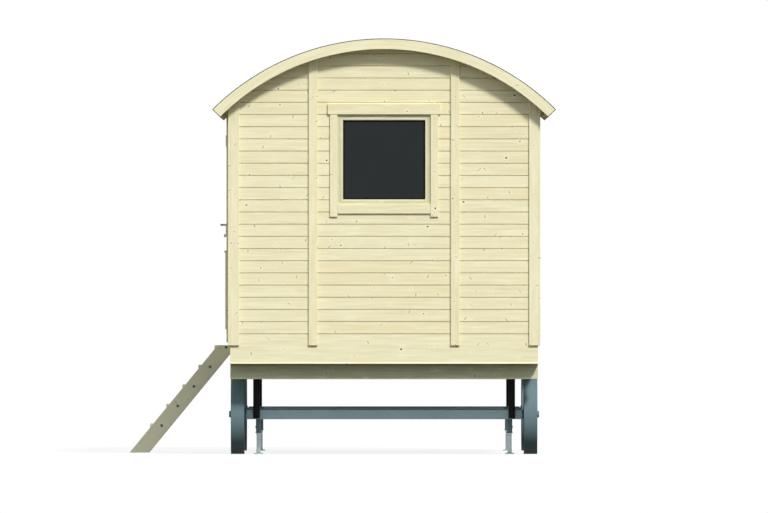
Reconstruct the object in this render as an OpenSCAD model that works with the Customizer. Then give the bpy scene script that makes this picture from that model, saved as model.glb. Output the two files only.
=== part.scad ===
/* [Body] */
// Width of the hut over the siding of its long walls
body_w = 2400; // [2200:10:2600]
// Length of the hut over the siding of its end walls
body_l = 4650; // [4400:10:5400]
// Thickness of a wall, frame and siding together
wall_t = 60; // [50:1:80]
// Distance from the top of the wheels up to the lower edge of the walls
wheel_gap = 84; // [70:1:120]
// Height of the walls, from their lower edge up to the felt over the siding of a long wall
wall_h = 2110; // [2100:1:2160]
// Depth of the floor joists
joist_h = 120; // [100:1:140]
// Width of a floor joist
joist_w = 45; // [40:1:60]
// Number of floor joists
joist_count = 10; // [8:1:12]
// Thickness of the floor boards
floor_t = 22; // [18:1:28]

/* [Roof] */
// Radius of the roof over its felt
roof_r = 1900; // [1850:5:2000]
// Distance that the roof surface runs out past the siding of a long wall
eaves_out = 136.5; // [120:0.5:160]
// Roof overhang past each end wall
overhang = 120; // [90:5:200]
// Thickness of the roofing felt
felt_t = 6; // [4:1:8]
// Thickness of the roof boards
deck_t = 28; // [22:1:32]
// Depth of the roof edge, from the felt to the lower edge of the barge boards
edge_h = 85; // [75:1:100]
// Thickness of a barge board
barge_t = 28; // [22:1:32]
// Width of the board along each eaves
eaves_w = 40; // [30:1:50]
// Depth of an arched rib under the roof boards
rib_h = 70; // [50:1:90]
// Width of an arched rib
rib_w = 45; // [35:1:60]
// Number of arched ribs
rib_count = 4; // [3:1:5]

/* [Trim] */
// Thickness of the corner boards, battens and window casings
trim_t = 18; // [12:1:22]
// Width of the corner boards and battens
trim_w = 70; // [50:1:80]
// Distance from the lower edge of the walls up to the corner boards and battens
trim_rise = 136; // [110:1:180]
// Distance from a window casing to the batten beside it
panel_margin = 79; // [60:1:100]
// Distance from the door casing to the batten beside it
door_margin = 54; // [30:1:80]

/* [Windows] */
// Width of the visible glass
glass_w = 636; // [560:1:660]
// Height of the visible glass
glass_h = 619; // [500:1:625]
// Distance from the felt over the wall down to the top of a sash
window_drop = 168; // [160:1:260]
// Width of the upright members of a sash
sash_stile = 45; // [35:1:50]
// Width of the level members of a sash
sash_rail = 44; // [35:1:50]
// Thickness of a sash
sash_t = 42; // [30:1:44]
// Distance from the siding back to the face of a sash
sash_recess = 12; // [8:1:16]
// Thickness of the glass
glass_t = 14; // [6:1:20]
// Width of the upright window casings
casing_w = 60; // [50:1:64]
// Height of the window casing over the sash
casing_head_h = 84; // [60:1:90]
// Height of the window casing under the sash
casing_foot_h = 81; // [60:1:90]
// Height by which the lower casing covers the foot of the sash
casing_cover = 11; // [5:1:15]
// Length that the head casing runs past the upright casings
casing_ear = 17; // [10:1:25]
// Length that the upright casings run down past the lower casing
casing_leg = 25; // [15:1:35]

/* [Door] */
// Width of the door leaf
door_w = 800; // [720:5:820]
// Thickness of the door leaf
door_t = 38; // [34:1:40]
// Distance from the eaves boards down to the door casing
eaves_gap = 6; // [5:1:60]
// Clearance round the edges of the door leaf
door_gap = 5; // [5:1:7]
// Clearance between the closed leaf and the frame that it shuts on
door_seal = 0.5; // [0.3:0.1:1]
// Thickness of the door lining in the wall
lining_t = 20; // [16:1:25]
// Distance that the door casing stands out past the face of the leaf
leaf_set_in = 2.5; // [1:0.5:4]
// Width of the door casing
door_casing_w = 60; // [50:1:65]
// Thickness of the threshold
threshold_t = 19; // [15:1:22]
// Width of the stiles of the door leaf
door_stile = 110; // [100:1:130]
// Height of the rail between the raised panel and the door glass
door_mid_rail = 106; // [100:1:130]
// Height of the top rail of the door leaf
door_top_rail = 110; // [90:1:130]
// Distance from the lower edge of the leaf up to the raised panel
door_panel_rise = 96; // [80:1:140]
// Height of the raised panel
door_panel_h = 624; // [560:1:640]
// Distance that the raised panel stands out from the leaf
door_panel_t = 13; // [10:1:18]
// Margin between the raised panel and the edge of the leaf
door_panel_margin = 60; // [50:1:80]
// Height of the drip moulding on top of the raised panel
drip_h = 22; // [18:1:26]
// Distance that the drip moulding stands out from the raised panel
drip_out = 8; // [6:1:10]
// Length by which the drip moulding runs past each side of the raised panel
drip_end = 6; // [4:1:12]

/* [Door furniture] */
// Distance from the raised panel up to the lock plate
plate_rise = 53; // [40:1:60]
// Distance from the lever up to the upper end of the lock plate
plate_over = 80; // [60:1:90]
// Distance from the leaf to the outer face of the lever
lever_reach = 58; // [50:1:64]
// Length of the lever from the middle of its neck
lever_l = 120; // [100:1:140]
// Height and thickness of the lever
lever_h = 16; // [12:1:20]
// Radius of the neck of the lever
neck_r = 9; // [7:0.5:10]
// Height of the lock plate
plate_h = 228; // [200:1:240]
// Width of the lock plate
plate_w = 42; // [36:1:50]
// Thickness of the lock plate
plate_t = 7; // [4:1:9]
// Distance from the lever down to the turn knob
knob_drop = 86; // [80:1:92]
// Height of one hinge
hinge_h = 90; // [70:1:110]
// Radius of the hinge barrel
barrel_r = 5.5; // [5:0.1:6]
// Radius of the hinge pin
pin_r = 3; // [2.5:0.1:3.5]
// Length of a hinge flap, from the barrel to its edge
flap_l = 38; // [30:1:45]

/* [Running gear] */
// Depth of the cross beams and rails under the floor
beam_h = 120; // [100:1:130]
// Width of the cross beams and rails
beam_w = 70; // [60:1:80]
// Distance from an end wall to the cross beam under it
beam_inset = 110; // [90:1:150]
// Distance from a wheel to the rail beside it
rail_gap = 59; // [45:1:75]
// Distance from an end wall to the axle
axle_inset = 620; // [560:1:720]
// Side of the square axle tube
axle_side = 80; // [70:1:90]
// Wall of the axle tube
axle_wall = 6; // [4:1:8]
// Radius of the wheels
wheel_r = 312; // [300:1:320]
// Width of the wheel rim
rim_w = 106; // [90:1:112]
// Thickness of the wheel rim
rim_t = 14; // [10:1:18]
// Distance from the siding of a long wall in to the outer face of a wheel
wheel_set_in = 2; // [-15:1:20]
// Number of spokes in a wheel
spoke_count = 12; // [10:1:14]
// Radius of the spindle that a wheel turns on
spindle_r = 22; // [18:1:26]
// Wall of a wheel hub round its spindle
hub_wall = 26; // [18:1:32]
// Radial clearance between a wheel hub and its spindle
hub_clearance = 0.05; // [0.02:0.01:0.1]
// Wall of the hub cap round the end of the spindle
cap_wall = 4.5; // [4:0.5:8]
// Distance that the hub cap stands out of the wheel
cap_l = 15; // [12:1:25]
// Width and depth of a hanger post
hanger_w = 52; // [36:1:60]
// Distance from the middle of the axle down to the lower end of a hanger post
hanger_drop = 34; // [20:1:40]

/* [Jacks] */
// Distance from the middle of a rail in to the middle of a jack
jack_offset = 16; // [0:1:30]
// Side of the square sleeve of a jack
sleeve_side = 42; // [38:1:48]
// Wall of the sleeve
sleeve_wall = 4; // [3:1:4.5]
// Distance from the middle of the axle down to the lower end of the sleeve
sleeve_drop = 146; // [120:1:160]
// Distance from the middle of the axle up to the upper end of the sleeve
sleeve_rise = 33; // [28:1:38]
// Clearance between the leg and the sleeve on each side
leg_clearance = 1; // [0.5:0.1:2]
// Clearance between the leg and its bush on each side
bush_clearance = 0.3; // [0.2:0.1:0.5]
// Height of the bush under the sleeve
bush_h = 16; // [12:1:20]
// Length of the leg inside the sleeve
leg_hold = 66; // [50:1:70]
// Side of the square foot plate
foot_side = 72; // [60:1:80]
// Thickness of the foot plate
foot_t = 8; // [6:1:10]

/* [Ladder] */
// Slope of the ladder
ladder_angle = 50.6; // [48:0.1:53]
// Distance from the floor down to the top of the ladder
ladder_drop = 5; // [4:1:30]
// Height of the flat end with which the ladder leans on the siding
ladder_seat = 52; // [40:1:80]
// Width of the ladder over its stringers
ladder_w = 700; // [600:5:800]
// Width of a stringer board
stringer_w = 120; // [100:1:140]
// Thickness of a stringer board
stringer_t = 28; // [22:1:34]
// Number of treads
tread_count = 5; // [4:1:5]
// Height from one tread to the next
tread_rise = 154.5; // [140:0.5:160]
// Depth of a tread
tread_d = 134; // [110:1:134]
// Thickness of a tread
tread_t = 28; // [22:1:34]
// Clearance between the top tread and the siding
tread_gap = 2.6; // [1:0.1:6]

/* [Hidden] */
$fn = 96;
// Length by which a cut runs past what it cuts
cut = 1;
half_w = body_w / 2;
half_l = body_l / 2;
inner_w = half_w - wall_t;
inner_l = half_l - wall_t;
skirt_z = 2 * wheel_r + wheel_gap;
floor_z = skirt_z + joist_h + floor_t;
wall_top = skirt_z + wall_h;
trim_z = skirt_z + trim_rise;

arch_z = wall_top - sqrt(roof_r * roof_r - half_w * half_w);
roof_half_angle = asin((half_w + eaves_out) / roof_r);
roof_l = body_l + 2 * overhang;
barge_r = roof_r - felt_t;
deck_r = barge_r - deck_t;
edge_r = roof_r - edge_h;
rib_r = deck_r - rib_h;
// Clearance between an eaves board and the felt folded down in front of it
fold_clearance = 0.3;
eaves_in = eaves_w + fold_clearance;
eaves_top = sqrt(deck_r * deck_r - eaves_in * eaves_in);
eaves_foot = arch_z + edge_r * cos(roof_half_angle) + eaves_in * sin(roof_half_angle);
roof_reach = half_w + eaves_out + felt_t * cos(roof_half_angle);

window_w = glass_w + 2 * sash_stile;
window_h = glass_h + 2 * sash_rail;
casing_top = wall_top - window_drop;
window_z = casing_top - window_h;
glass_z = window_z + sash_rail;
panel_w = window_w + 2 * (casing_w + casing_ear + panel_margin) + trim_w;

leaf_face = half_w + door_seal + door_t;
door_face = leaf_face + leaf_set_in;
door_z = floor_z + threshold_t + door_gap;
door_top = eaves_foot - eaves_gap - door_casing_w - door_gap;
door_casing_in = door_w / 2 + door_gap;
door_casing_out = door_casing_in + door_casing_w;
door_batten_y = door_casing_out + door_margin + trim_w / 2;
lining_in = door_w / 2 - lining_t;
door_panel_z = door_z + door_panel_rise;
door_panel_top = door_panel_z + door_panel_h;
door_glass_z = door_panel_top + door_mid_rail;
plate_z = door_panel_top + plate_rise;
lever_z = plate_z + plate_h - plate_over;
lock_y = door_w / 2 - door_stile / 2;
// Distance that the middle of a hinge barrel stands out from the door casing
hinge_out = 1;
hinge_x = door_face + hinge_out;
hinge_y = -door_w / 2 - door_gap / 2;
// Distance from the lower and upper edges of the leaf to the hinges there
hinge_rise = 166;
hinge_drop = 138;
low_hinge = door_z + hinge_rise;
top_hinge = door_top - hinge_drop;
hinge_heights = [low_hinge, (low_hinge + top_hinge) / 2, top_hinge];
barrel_clearance = 1;
pin_clearance = 0.05;
// Gap between the two halves of a hinge, and from the pin to the end of its barrel
knuckle_gap = 0.3;
flap_gap = 1;
pin_end = 2;
flap_t = 2;
knob_r = 13;
knob_l = 20;
// Extra radius of the boss round the neck of the lever
lever_boss = 2;

beam_z = skirt_z - beam_h;
axle_y = half_l - axle_inset;
wheel_x = half_w - wheel_set_in;
rim_in = wheel_x - rim_w;
rail_x = rim_in - rail_gap - beam_w / 2;
// Distance from the end of the axle tube to the wheel rim
axle_gap = 14;
axle_end = rim_in - axle_gap;
collar_l = 6;
collar_wall = 12;
collar_gap = 1;
spindle_gap = 2;
hub_in = axle_end + collar_l + collar_gap;
hub_l = wheel_x - hub_in;
hub_r = spindle_r + hub_wall;
cap_r = spindle_r + cap_wall;
rim_rib_h = 16;
rim_rib_w = 24;
spoke_in_w = 44;
spoke_out_w = 30;
spoke_t = 14;
// Width of a spoke over the ribs on its two faces, at the hub and at the rim, and their thickness
spoke_rib_in = 68;
spoke_rib_out = 36;
spoke_rib_t = 11;
// Depth to which a spoke runs into the hub
spoke_root = 8;
post_y = axle_y + axle_side / 2;
hanger_z = wheel_r - hanger_drop;
hanger_plate_t = 10;
hanger_plate_l = 110;

jack_x = rail_x - jack_offset;
jack_y = axle_y - axle_side / 2 - sleeve_side / 2;
sleeve_z = wheel_r - sleeve_drop;
sleeve_top = wheel_r + sleeve_rise;
leg_top = sleeve_z + leg_hold;
leg_side = sleeve_side - 2 * sleeve_wall - 2 * leg_clearance;
leg_wall = 3;
bush_lip = 5;
// Distance that the bush stands back from the faces of the sleeve
bush_in = 2;

ladder_top = floor_z - ladder_drop;
foot_back = half_w + (ladder_top - ladder_seat) / tan(ladder_angle);
foot_front = foot_back + stringer_w / sin(ladder_angle);
tread_nose = tread_d + tread_gap + ladder_seat / tan(ladder_angle) - stringer_w / sin(ladder_angle);
hut_x = (foot_front - roof_reach) / 2;

spruce = [0.93, 0.90, 0.75];
shaded_spruce = [0.62, 0.62, 0.48];
felt_grey = [0.38, 0.40, 0.36];
dark_glass = [0.18, 0.20, 0.21];
axle_blue = [0.42, 0.50, 0.53];
wheel_blue = [0.22, 0.28, 0.32];
strap_black = [0.09, 0.09, 0.09];
zinc = [0.72, 0.76, 0.79];
steel = [0.60, 0.62, 0.62];

// The origin lies under the middle of the whole outline, ladder included
module place() {
    translate([hut_x, 0, 0]) children();
}

// A block between two opposite corners
module block(low, high) {
    translate(low) cube(high - low);
}

// A profile drawn in X and Z, carried along Y from one end to the other
module along_y(y0, y1) {
    translate([0, y1, 0]) rotate([90, 0, 0]) linear_extrude(y1 - y0) children();
}

// The same piece at the front and turned round at the rear
module both_ends() {
    children();
    mirror([0, 1, 0]) children();
}

// The same piece on the left and on the right
module both_sides() {
    children();
    mirror([1, 0, 0]) children();
}

// The room under a roof surface of radius r, straight down below the centre of the arch
module under_arch(r) {
    translate([0, arch_z]) circle(r = r, $fn = 180);
    translate([-r, 0]) square([2 * r, arch_z]);
}

// The part of the roof section between the radial cuts at the eaves, or a little past them
module arch_wedge(past) {
    side = 2 * roof_r * [sin(roof_half_angle), cos(roof_half_angle)]
        + past * [cos(roof_half_angle), -sin(roof_half_angle)];
    translate([0, arch_z])
        polygon([[0, -past / sin(roof_half_angle)], side, [-side.x, side.y]]);
}

// The ring between two radii of the arch, cut at the eaves
module arch_ring(r_in, r_out, past = 0) {
    intersection() {
        difference() {
            under_arch(r_out);
            under_arch(r_in);
        }
        arch_wedge(past);
    }
}

module front_cross_beam() {
    color(shaded_spruce) place() cross_beam(-half_l + beam_inset);
}

module rear_cross_beam() {
    color(shaded_spruce) place() cross_beam(half_l - beam_inset - beam_w);
}

module cross_beam(y) {
    block([-half_w, y, beam_z], [half_w, y + beam_w, skirt_z]);
}

module chassis_rails() {
    end = half_l - beam_inset - beam_w;
    color(shaded_spruce) place() both_sides()
        block([rail_x - beam_w / 2, -end, beam_z], [rail_x + beam_w / 2, end, skirt_z]);
}

module floor_joists() {
    pitch = (2 * inner_l - joist_w) / (joist_count - 1);
    color(shaded_spruce) place()
        for (i = [0 : joist_count - 1])
            translate([0, -inner_l + i * pitch, skirt_z])
                block([-inner_w, 0, 0], [inner_w, joist_w, joist_h]);
}

module floor_boards() {
    color(spruce) place()
        block([-inner_w, -inner_l, floor_z - floor_t], [inner_w, inner_l, floor_z]);
}

module front_axle() {
    color(axle_blue) place() axle();
}

module rear_axle() {
    color(axle_blue) place() mirror([0, 1, 0]) axle();
}

// Square tube with a plug, a collar and a spindle at each end
module axle() {
    half = axle_side / 2;
    inner = half - axle_wall;
    translate([0, -axle_y, wheel_r]) {
        difference() {
            block([-axle_end, -half, -half], [axle_end, half, half]);
            block([-axle_end - cut, -inner, -inner], [axle_end + cut, inner, inner]);
        }
        both_sides() {
            block([axle_end - axle_side, -inner, -inner], [axle_end, inner, inner]);
            translate([axle_end, 0, 0]) rotate([0, 90, 0]) {
                cylinder(r = spindle_r + collar_wall, h = collar_l);
                cylinder(r = spindle_r, h = wheel_x - spindle_gap - axle_end);
            }
        }
    }
}

// Black posts that carry the rails on the axles, welded to the outer face of the axle tube
module axle_hangers() {
    half = hanger_w / 2;
    color(strap_black) place() both_ends() both_sides() translate([rail_x, 0, 0]) {
        block([-half, -post_y - hanger_w, hanger_z], [half, -post_y, beam_z]);
        block(
            [-half, -post_y, beam_z - hanger_plate_t],
            [half, -post_y + hanger_plate_l, beam_z]
        );
    }
}

module front_left_wheel() {
    color(wheel_blue) place() mirror([1, 0, 0]) wheel(-axle_y);
}

module front_right_wheel() {
    color(wheel_blue) place() wheel(-axle_y);
}

module rear_left_wheel() {
    color(wheel_blue) place() mirror([1, 0, 0]) wheel(axle_y);
}

module rear_right_wheel() {
    color(wheel_blue) place() wheel(axle_y);
}

// Cast wheel on the right, with ribbed spokes between the rim and the hub
module wheel(y) {
    mid = rim_in + rim_w / 2;
    difference() {
        translate([0, y, wheel_r]) rotate([0, 90, 0]) union() {
            translate([0, 0, rim_in]) difference() {
                cylinder(r = wheel_r, h = rim_w);
                translate([0, 0, -cut]) cylinder(r = wheel_r - rim_t, h = rim_w + 2 * cut);
            }
            translate([0, 0, mid - rim_rib_w / 2]) difference() {
                cylinder(r = wheel_r - rim_t / 2, h = rim_rib_w);
                translate([0, 0, -cut])
                    cylinder(r = wheel_r - rim_t - rim_rib_h, h = rim_rib_w + 2 * cut);
            }
            translate([0, 0, hub_in]) cylinder(r = hub_r, h = hub_l);
            translate([0, 0, wheel_x - cut]) cylinder(r = cap_r, h = cap_l + cut);
            for (i = [0 : spoke_count - 1]) rotate([0, 0, i * 360 / spoke_count])
                translate([0, 0, mid]) spoke();
        }
        translate([hub_in - cut, y, wheel_r]) rotate([0, 90, 0])
            cylinder(r = spindle_r + hub_clearance, h = hub_l + cut + collar_gap);
    }
}

// One tapered spoke with a rib on both faces, from inside the hub to inside the rim
module spoke() {
    r0 = hub_r - spoke_root;
    r1 = wheel_r - rim_t - rim_rib_h / 2;
    linear_extrude(spoke_t, center = true)
        polygon([
            [r0, -spoke_in_w / 2], [r1, -spoke_out_w / 2],
            [r1, spoke_out_w / 2], [r0, spoke_in_w / 2]
        ]);
    rotate([90, 0, 0]) linear_extrude(spoke_rib_t, center = true)
        polygon([
            [r0, -spoke_rib_in / 2], [r1, -spoke_rib_out / 2],
            [r1, spoke_rib_out / 2], [r0, spoke_rib_in / 2]
        ]);
}

module jack_sleeves() {
    half = sleeve_side / 2;
    bore = half - sleeve_wall;
    color(axle_blue) place() both_ends() both_sides() translate([jack_x, -jack_y, 0])
        difference() {
            union() {
                block([-half, -half, sleeve_z], [half, half, sleeve_top]);
                block(
                    [-half - bush_lip, -half, sleeve_z],
                    [half + bush_lip, half + bush_lip, sleeve_z + bush_lip]
                );
            }
            block([-bore, -bore, sleeve_z - cut], [bore, bore, sleeve_top - sleeve_wall]);
        }
}

// Guide bush that the leg runs in, under the sleeve
module jack_bushes() {
    half = sleeve_side / 2 - bush_in;
    bore = leg_side / 2 + bush_clearance;
    color(zinc) place() both_ends() both_sides() translate([jack_x, -jack_y, 0])
        difference() {
            block([-half, -half, sleeve_z - bush_h], [half, half, sleeve_z]);
            block([-bore, -bore, sleeve_z - bush_h - cut], [bore, bore, sleeve_z + cut]);
        }
}

module front_left_leg() {
    color(zinc) place() jack_leg(-jack_x, -jack_y);
}

module front_right_leg() {
    color(zinc) place() jack_leg(jack_x, -jack_y);
}

module rear_left_leg() {
    color(zinc) place() jack_leg(-jack_x, jack_y);
}

module rear_right_leg() {
    color(zinc) place() jack_leg(jack_x, jack_y);
}

// Square tube on a foot plate
module jack_leg(x, y) {
    half = leg_side / 2;
    inner = half - leg_wall;
    plate = foot_side / 2;
    translate([x, y, 0]) difference() {
        union() {
            block([-plate, -plate, 0], [plate, plate, foot_t]);
            block([-half, -half, 0], [half, half, leg_top]);
        }
        block([-inner, -inner, foot_t], [inner, inner, leg_top + cut]);
    }
}

module front_wall() {
    color(spruce) place() end_wall();
}

module rear_wall() {
    color(spruce) place() mirror([0, 1, 0]) end_wall();
}

// End wall under the arch of the roof, with its window cut through
module end_wall() {
    difference() {
        along_y(-half_l, -inner_l) intersection() {
            translate([-half_w, skirt_z]) square([body_w, arch_z + roof_r]);
            under_arch(deck_r);
        }
        translate([0, -half_l, 0]) window_hole();
    }
}

// The hole for one window, through a wall whose siding faces -Y at the origin
module window_hole() {
    block([-window_w / 2, -cut, window_z], [window_w / 2, wall_t + cut, window_z + window_h]);
}

// Turns a window drawn for the front wall to its place in a long wall
module in_long_wall(side, y) {
    translate([side * half_w, y, 0]) rotate([0, 0, side * 90]) children();
}

// Long wall between two places along it, up to the roof boards
module long_wall(side, y0, y1, z0, z1) {
    x0 = side > 0 ? inner_w : -half_w;
    along_y(y0, y1) intersection() {
        translate([x0, z0]) square([wall_t, z1 - z0]);
        under_arch(deck_r);
    }
}

module right_wall() {
    color(spruce) place() difference() {
        long_wall(1, -inner_l, inner_l, skirt_z, roof_r + arch_z);
        for (end = [-1, 1]) in_long_wall(1, end * panel_w) window_hole();
    }
}

module left_wall_front() {
    color(spruce) place() difference() {
        long_wall(-1, -inner_l, -door_w / 2, skirt_z, roof_r + arch_z);
        in_long_wall(-1, -panel_w) window_hole();
    }
}

module left_wall_rear() {
    color(spruce) place() difference() {
        long_wall(-1, door_w / 2, inner_l, skirt_z, roof_r + arch_z);
        in_long_wall(-1, panel_w) window_hole();
    }
}

module left_wall_over_door() {
    color(spruce) place()
        long_wall(-1, -door_w / 2, door_w / 2, door_top, roof_r + arch_z);
}

module left_wall_under_door() {
    color(spruce) place() long_wall(-1, -door_w / 2, door_w / 2, skirt_z, floor_z);
}

// Corner boards, one on the end wall and one on the long wall, nailed to each other
module corner_boards() {
    color(spruce) place() both_ends() both_sides() along_corner() {
        block([-trim_w, -trim_t, 0], [0, 0, arch_z + roof_r]);
        block([0, -trim_t, 0], [trim_t, trim_w, arch_z + roof_r]);
    }
}

// Stands a piece on the front right corner of the siding and trims it under the roof boards
module along_corner() {
    intersection() {
        translate([half_w, -half_l, trim_z]) children();
        along_y(-half_l - overhang + barge_t, half_l) under_arch(deck_r);
    }
}

// Battens over the joints of the wall panels, and one on each side of the doorway
module battens() {
    half = trim_w / 2;
    outer = 1.5 * panel_w;
    color(spruce) place() intersection() {
        union() {
            both_ends() both_sides()
                block(
                    [panel_w / 2 - half, -half_l - trim_t, trim_z],
                    [panel_w / 2 + half, -half_l, arch_z + roof_r]
                );
            both_ends() {
                for (y = [panel_w / 2, outer]) long_batten(1, y);
                for (y = [door_batten_y, outer]) long_batten(-1, y);
            }
        }
        along_y(-half_l - overhang, half_l + overhang) under_arch(deck_r);
    }
}

// One batten on a long wall, before it is trimmed under the roof boards
module long_batten(side, y) {
    x0 = side > 0 ? half_w : -half_w - trim_t;
    translate([x0, y - trim_w / 2, trim_z]) cube([trim_t, trim_w, arch_z + roof_r]);
}

// Puts a window piece into all six windows
module in_all_windows() {
    both_ends() translate([0, -half_l, 0]) children();
    for (side = [-1, 1]) for (y = [-1, 1] * panel_w) in_long_wall(side, y) children();
}

module window_casings() {
    color(spruce) place() in_all_windows() window_casing();
}

// Four casing boards round a window, the lower one a little over the foot of the sash
module window_casing() {
    half = window_w / 2;
    outer = half + casing_w;
    foot = window_z + casing_cover - casing_foot_h;
    both_sides() block(
        [half, -trim_t, foot - casing_leg], [outer, 0, casing_top]
    );
    block([-half, -trim_t, foot], [half, 0, foot + casing_foot_h]);
    block(
        [-outer - casing_ear, -trim_t, casing_top],
        [outer + casing_ear, 0, casing_top + casing_head_h]
    );
}

module window_sashes() {
    color(spruce) place() in_all_windows() difference() {
        block(
            [-window_w / 2, sash_recess, window_z],
            [window_w / 2, sash_recess + sash_t, window_z + window_h]
        );
        block(
            [-glass_w / 2, -cut, glass_z],
            [glass_w / 2, wall_t + cut, glass_z + glass_h]
        );
    }
}

module window_panes() {
    y = sash_recess + (sash_t - glass_t) / 2;
    color(dark_glass) place() in_all_windows()
        block([-glass_w / 2, y, glass_z], [glass_w / 2, y + glass_t, glass_z + glass_h]);
}

// Arched ribs that carry the roof boards inside the room
module roof_ribs() {
    pitch = 2 * inner_l / (rib_count + 1);
    color(spruce) place() for (i = [1 : rib_count])
        translate([0, -inner_l + i * pitch, 0]) along_y(-rib_w / 2, rib_w / 2)
            intersection() {
                arch_ring(rib_r, deck_r);
                translate([-inner_w, 0]) square([2 * inner_w, arch_z + roof_r]);
            }
}

module roof_deck() {
    end = roof_l / 2 - barge_t;
    color(spruce) place() along_y(-end, end) arch_ring(deck_r, barge_r);
}

// Boards that deepen the roof edge along the eaves
module eaves_boards() {
    end = roof_l / 2 - barge_t;
    color(spruce) place() both_sides() along_y(-end, end)
        translate([0, arch_z]) rotate(-roof_half_angle)
            translate([-eaves_in, edge_r]) square([eaves_w, eaves_top - edge_r]);
}

module front_barge_board() {
    color(spruce) place() along_y(-roof_l / 2, -roof_l / 2 + barge_t)
        arch_ring(edge_r, barge_r);
}

module rear_barge_board() {
    color(spruce) place() along_y(roof_l / 2 - barge_t, roof_l / 2)
        arch_ring(edge_r, barge_r);
}

// Roofing felt over the boards, folded down over the ends of the roof edge
module roof_felt() {
    color(felt_grey) place() along_y(-roof_l / 2, roof_l / 2) difference() {
        arch_ring(edge_r, roof_r, felt_t);
        arch_ring(edge_r - cut, barge_r);
    }
}

// Lining of the doorway, two jambs and a head
module door_lining() {
    color(spruce) place() difference() {
        block([-half_w, -door_w / 2, floor_z + threshold_t], [-inner_w, door_w / 2, door_top]);
        block(
            [-half_w - cut, -lining_in, floor_z],
            [-inner_w + cut, lining_in, door_top - lining_t]
        );
    }
}

// Casing round the leaf, with room for the hinge barrels
module door_casing() {
    inner = door_casing_in;
    outer = door_casing_out;
    foot = floor_z + threshold_t;
    top = door_top + door_gap;
    color(shaded_spruce) place() difference() {
        block([-door_face, -outer, foot], [-half_w, outer, top + door_casing_w]);
        block([-door_face - cut, -inner, foot - cut], [-half_w + cut, inner, top]);
        barrel_room();
    }
}

// The room that the hinge barrels need
module barrel_room() {
    for (z = hinge_heights) translate([-hinge_x, hinge_y, z])
        cylinder(r = barrel_r + barrel_clearance, h = hinge_h + 2 * barrel_clearance, center = true);
}

module door_threshold() {
    inner = door_w / 2;
    outer = door_casing_out;
    color(spruce) place() {
        block([-half_w, -inner, floor_z], [-inner_w, inner, floor_z + threshold_t]);
        block([-half_w - trim_t, -outer, floor_z], [-half_w, outer, floor_z + threshold_t]);
    }
}

// Frame half of each hinge: a flap on the casing, the lower knuckle and the pin
module hinge_frames() {
    color(steel) place() for (z = hinge_heights) translate([-hinge_x, hinge_y, z]) {
        translate([0, 0, -hinge_h / 2]) {
            cylinder(r = barrel_r, h = hinge_h / 2);
            cylinder(r = pin_r, h = hinge_h - pin_end);
        }
        translate([-flap_t + hinge_x - door_face, 0, 0])
            block([0, -flap_l, -hinge_h / 2], [flap_t, 0, -flap_gap]);
    }
}

module door_leaf() {
    half = door_w / 2;
    color(shaded_spruce) place() difference() {
        block([-leaf_face, -half, door_z], [-half_w - door_seal, half, door_top]);
        door_glass_shape(cut);
        translate([-leaf_face - cut, lock_y, lever_z]) rotate([0, 90, 0])
            cylinder(r = neck_r + pin_clearance, h = door_t + 2 * cut);
        barrel_room();
    }
}

// The upper pane of the door, or its hole when it runs past both faces
module door_glass_shape(extra) {
    half = door_w / 2 - door_stile;
    x = half_w + door_seal + (extra > 0 ? 0 : (door_t - glass_t) / 2);
    depth = extra > 0 ? door_t : glass_t;
    block(
        [-x - depth - extra, -half, door_glass_z],
        [-x + extra, half, door_top - door_top_rail]
    );
}

// Raised panel on the lower half of the leaf, under a drip moulding with a round nose
module door_panel() {
    half = door_w / 2 - door_panel_margin;
    nose = drip_h / 2;
    depth = door_panel_t + drip_out;
    color(shaded_spruce) place() {
        block(
            [-leaf_face - door_panel_t, -half, door_panel_z],
            [-leaf_face, half, door_panel_top - drip_h]
        );
        along_y(-half - drip_end, half + drip_end)
            translate([-leaf_face - depth + nose, door_panel_top - nose]) {
                translate([0, -nose]) square([depth - nose, drip_h]);
                intersection() {
                    circle(r = nose);
                    translate([-nose, -nose]) square([nose, drip_h]);
                }
            }
    }
}

module door_glass() {
    color(dark_glass) place() door_glass_shape(0);
}

// Leaf half of each hinge: a flap on the leaf and the upper knuckle
module hinge_flaps() {
    color(steel) place() for (z = hinge_heights) translate([-hinge_x, hinge_y, z]) difference() {
        union() {
            translate([0, 0, knuckle_gap]) cylinder(r = barrel_r, h = hinge_h / 2 - knuckle_gap);
            translate([hinge_x - leaf_face - flap_t, 0, 0])
                block([0, 0, flap_gap], [flap_t, flap_l, hinge_h / 2]);
        }
        translate([0, 0, -cut]) cylinder(r = pin_r + pin_clearance, h = hinge_h);
    }
}

// Long plates on both faces of the leaf, with the turn knob
module lock_plates() {
    color(steel) place() translate([0, lock_y, 0]) difference() {
        union() {
            lock_plate(-leaf_face - plate_t);
            lock_plate(-half_w - door_seal);
            translate([-leaf_face - plate_t - knob_l, 0, lever_z - knob_drop])
                rotate([0, 90, 0]) cylinder(r = knob_r, h = knob_l + cut);
        }
        translate([-leaf_face - plate_t - cut, 0, lever_z]) rotate([0, 90, 0])
            cylinder(r = neck_r + pin_clearance, h = door_t + 2 * plate_t + 2 * cut);
    }
}

module lock_plate(x) {
    block([x, -plate_w / 2, plate_z], [x + plate_t, plate_w / 2, plate_z + plate_h]);
}

// Lever handles on both faces, on one neck through the leaf
module door_lever() {
    out = leaf_face + lever_reach;
    in = half_w + door_seal - lever_reach;
    color(steel) place() translate([0, lock_y, lever_z]) {
        translate([-out + lever_h / 2, 0, 0]) rotate([0, 90, 0])
            cylinder(r = neck_r, h = out - in - lever_h);
        lever_arm(-out);
        lever_arm(-in - lever_h);
    }
}

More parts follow.
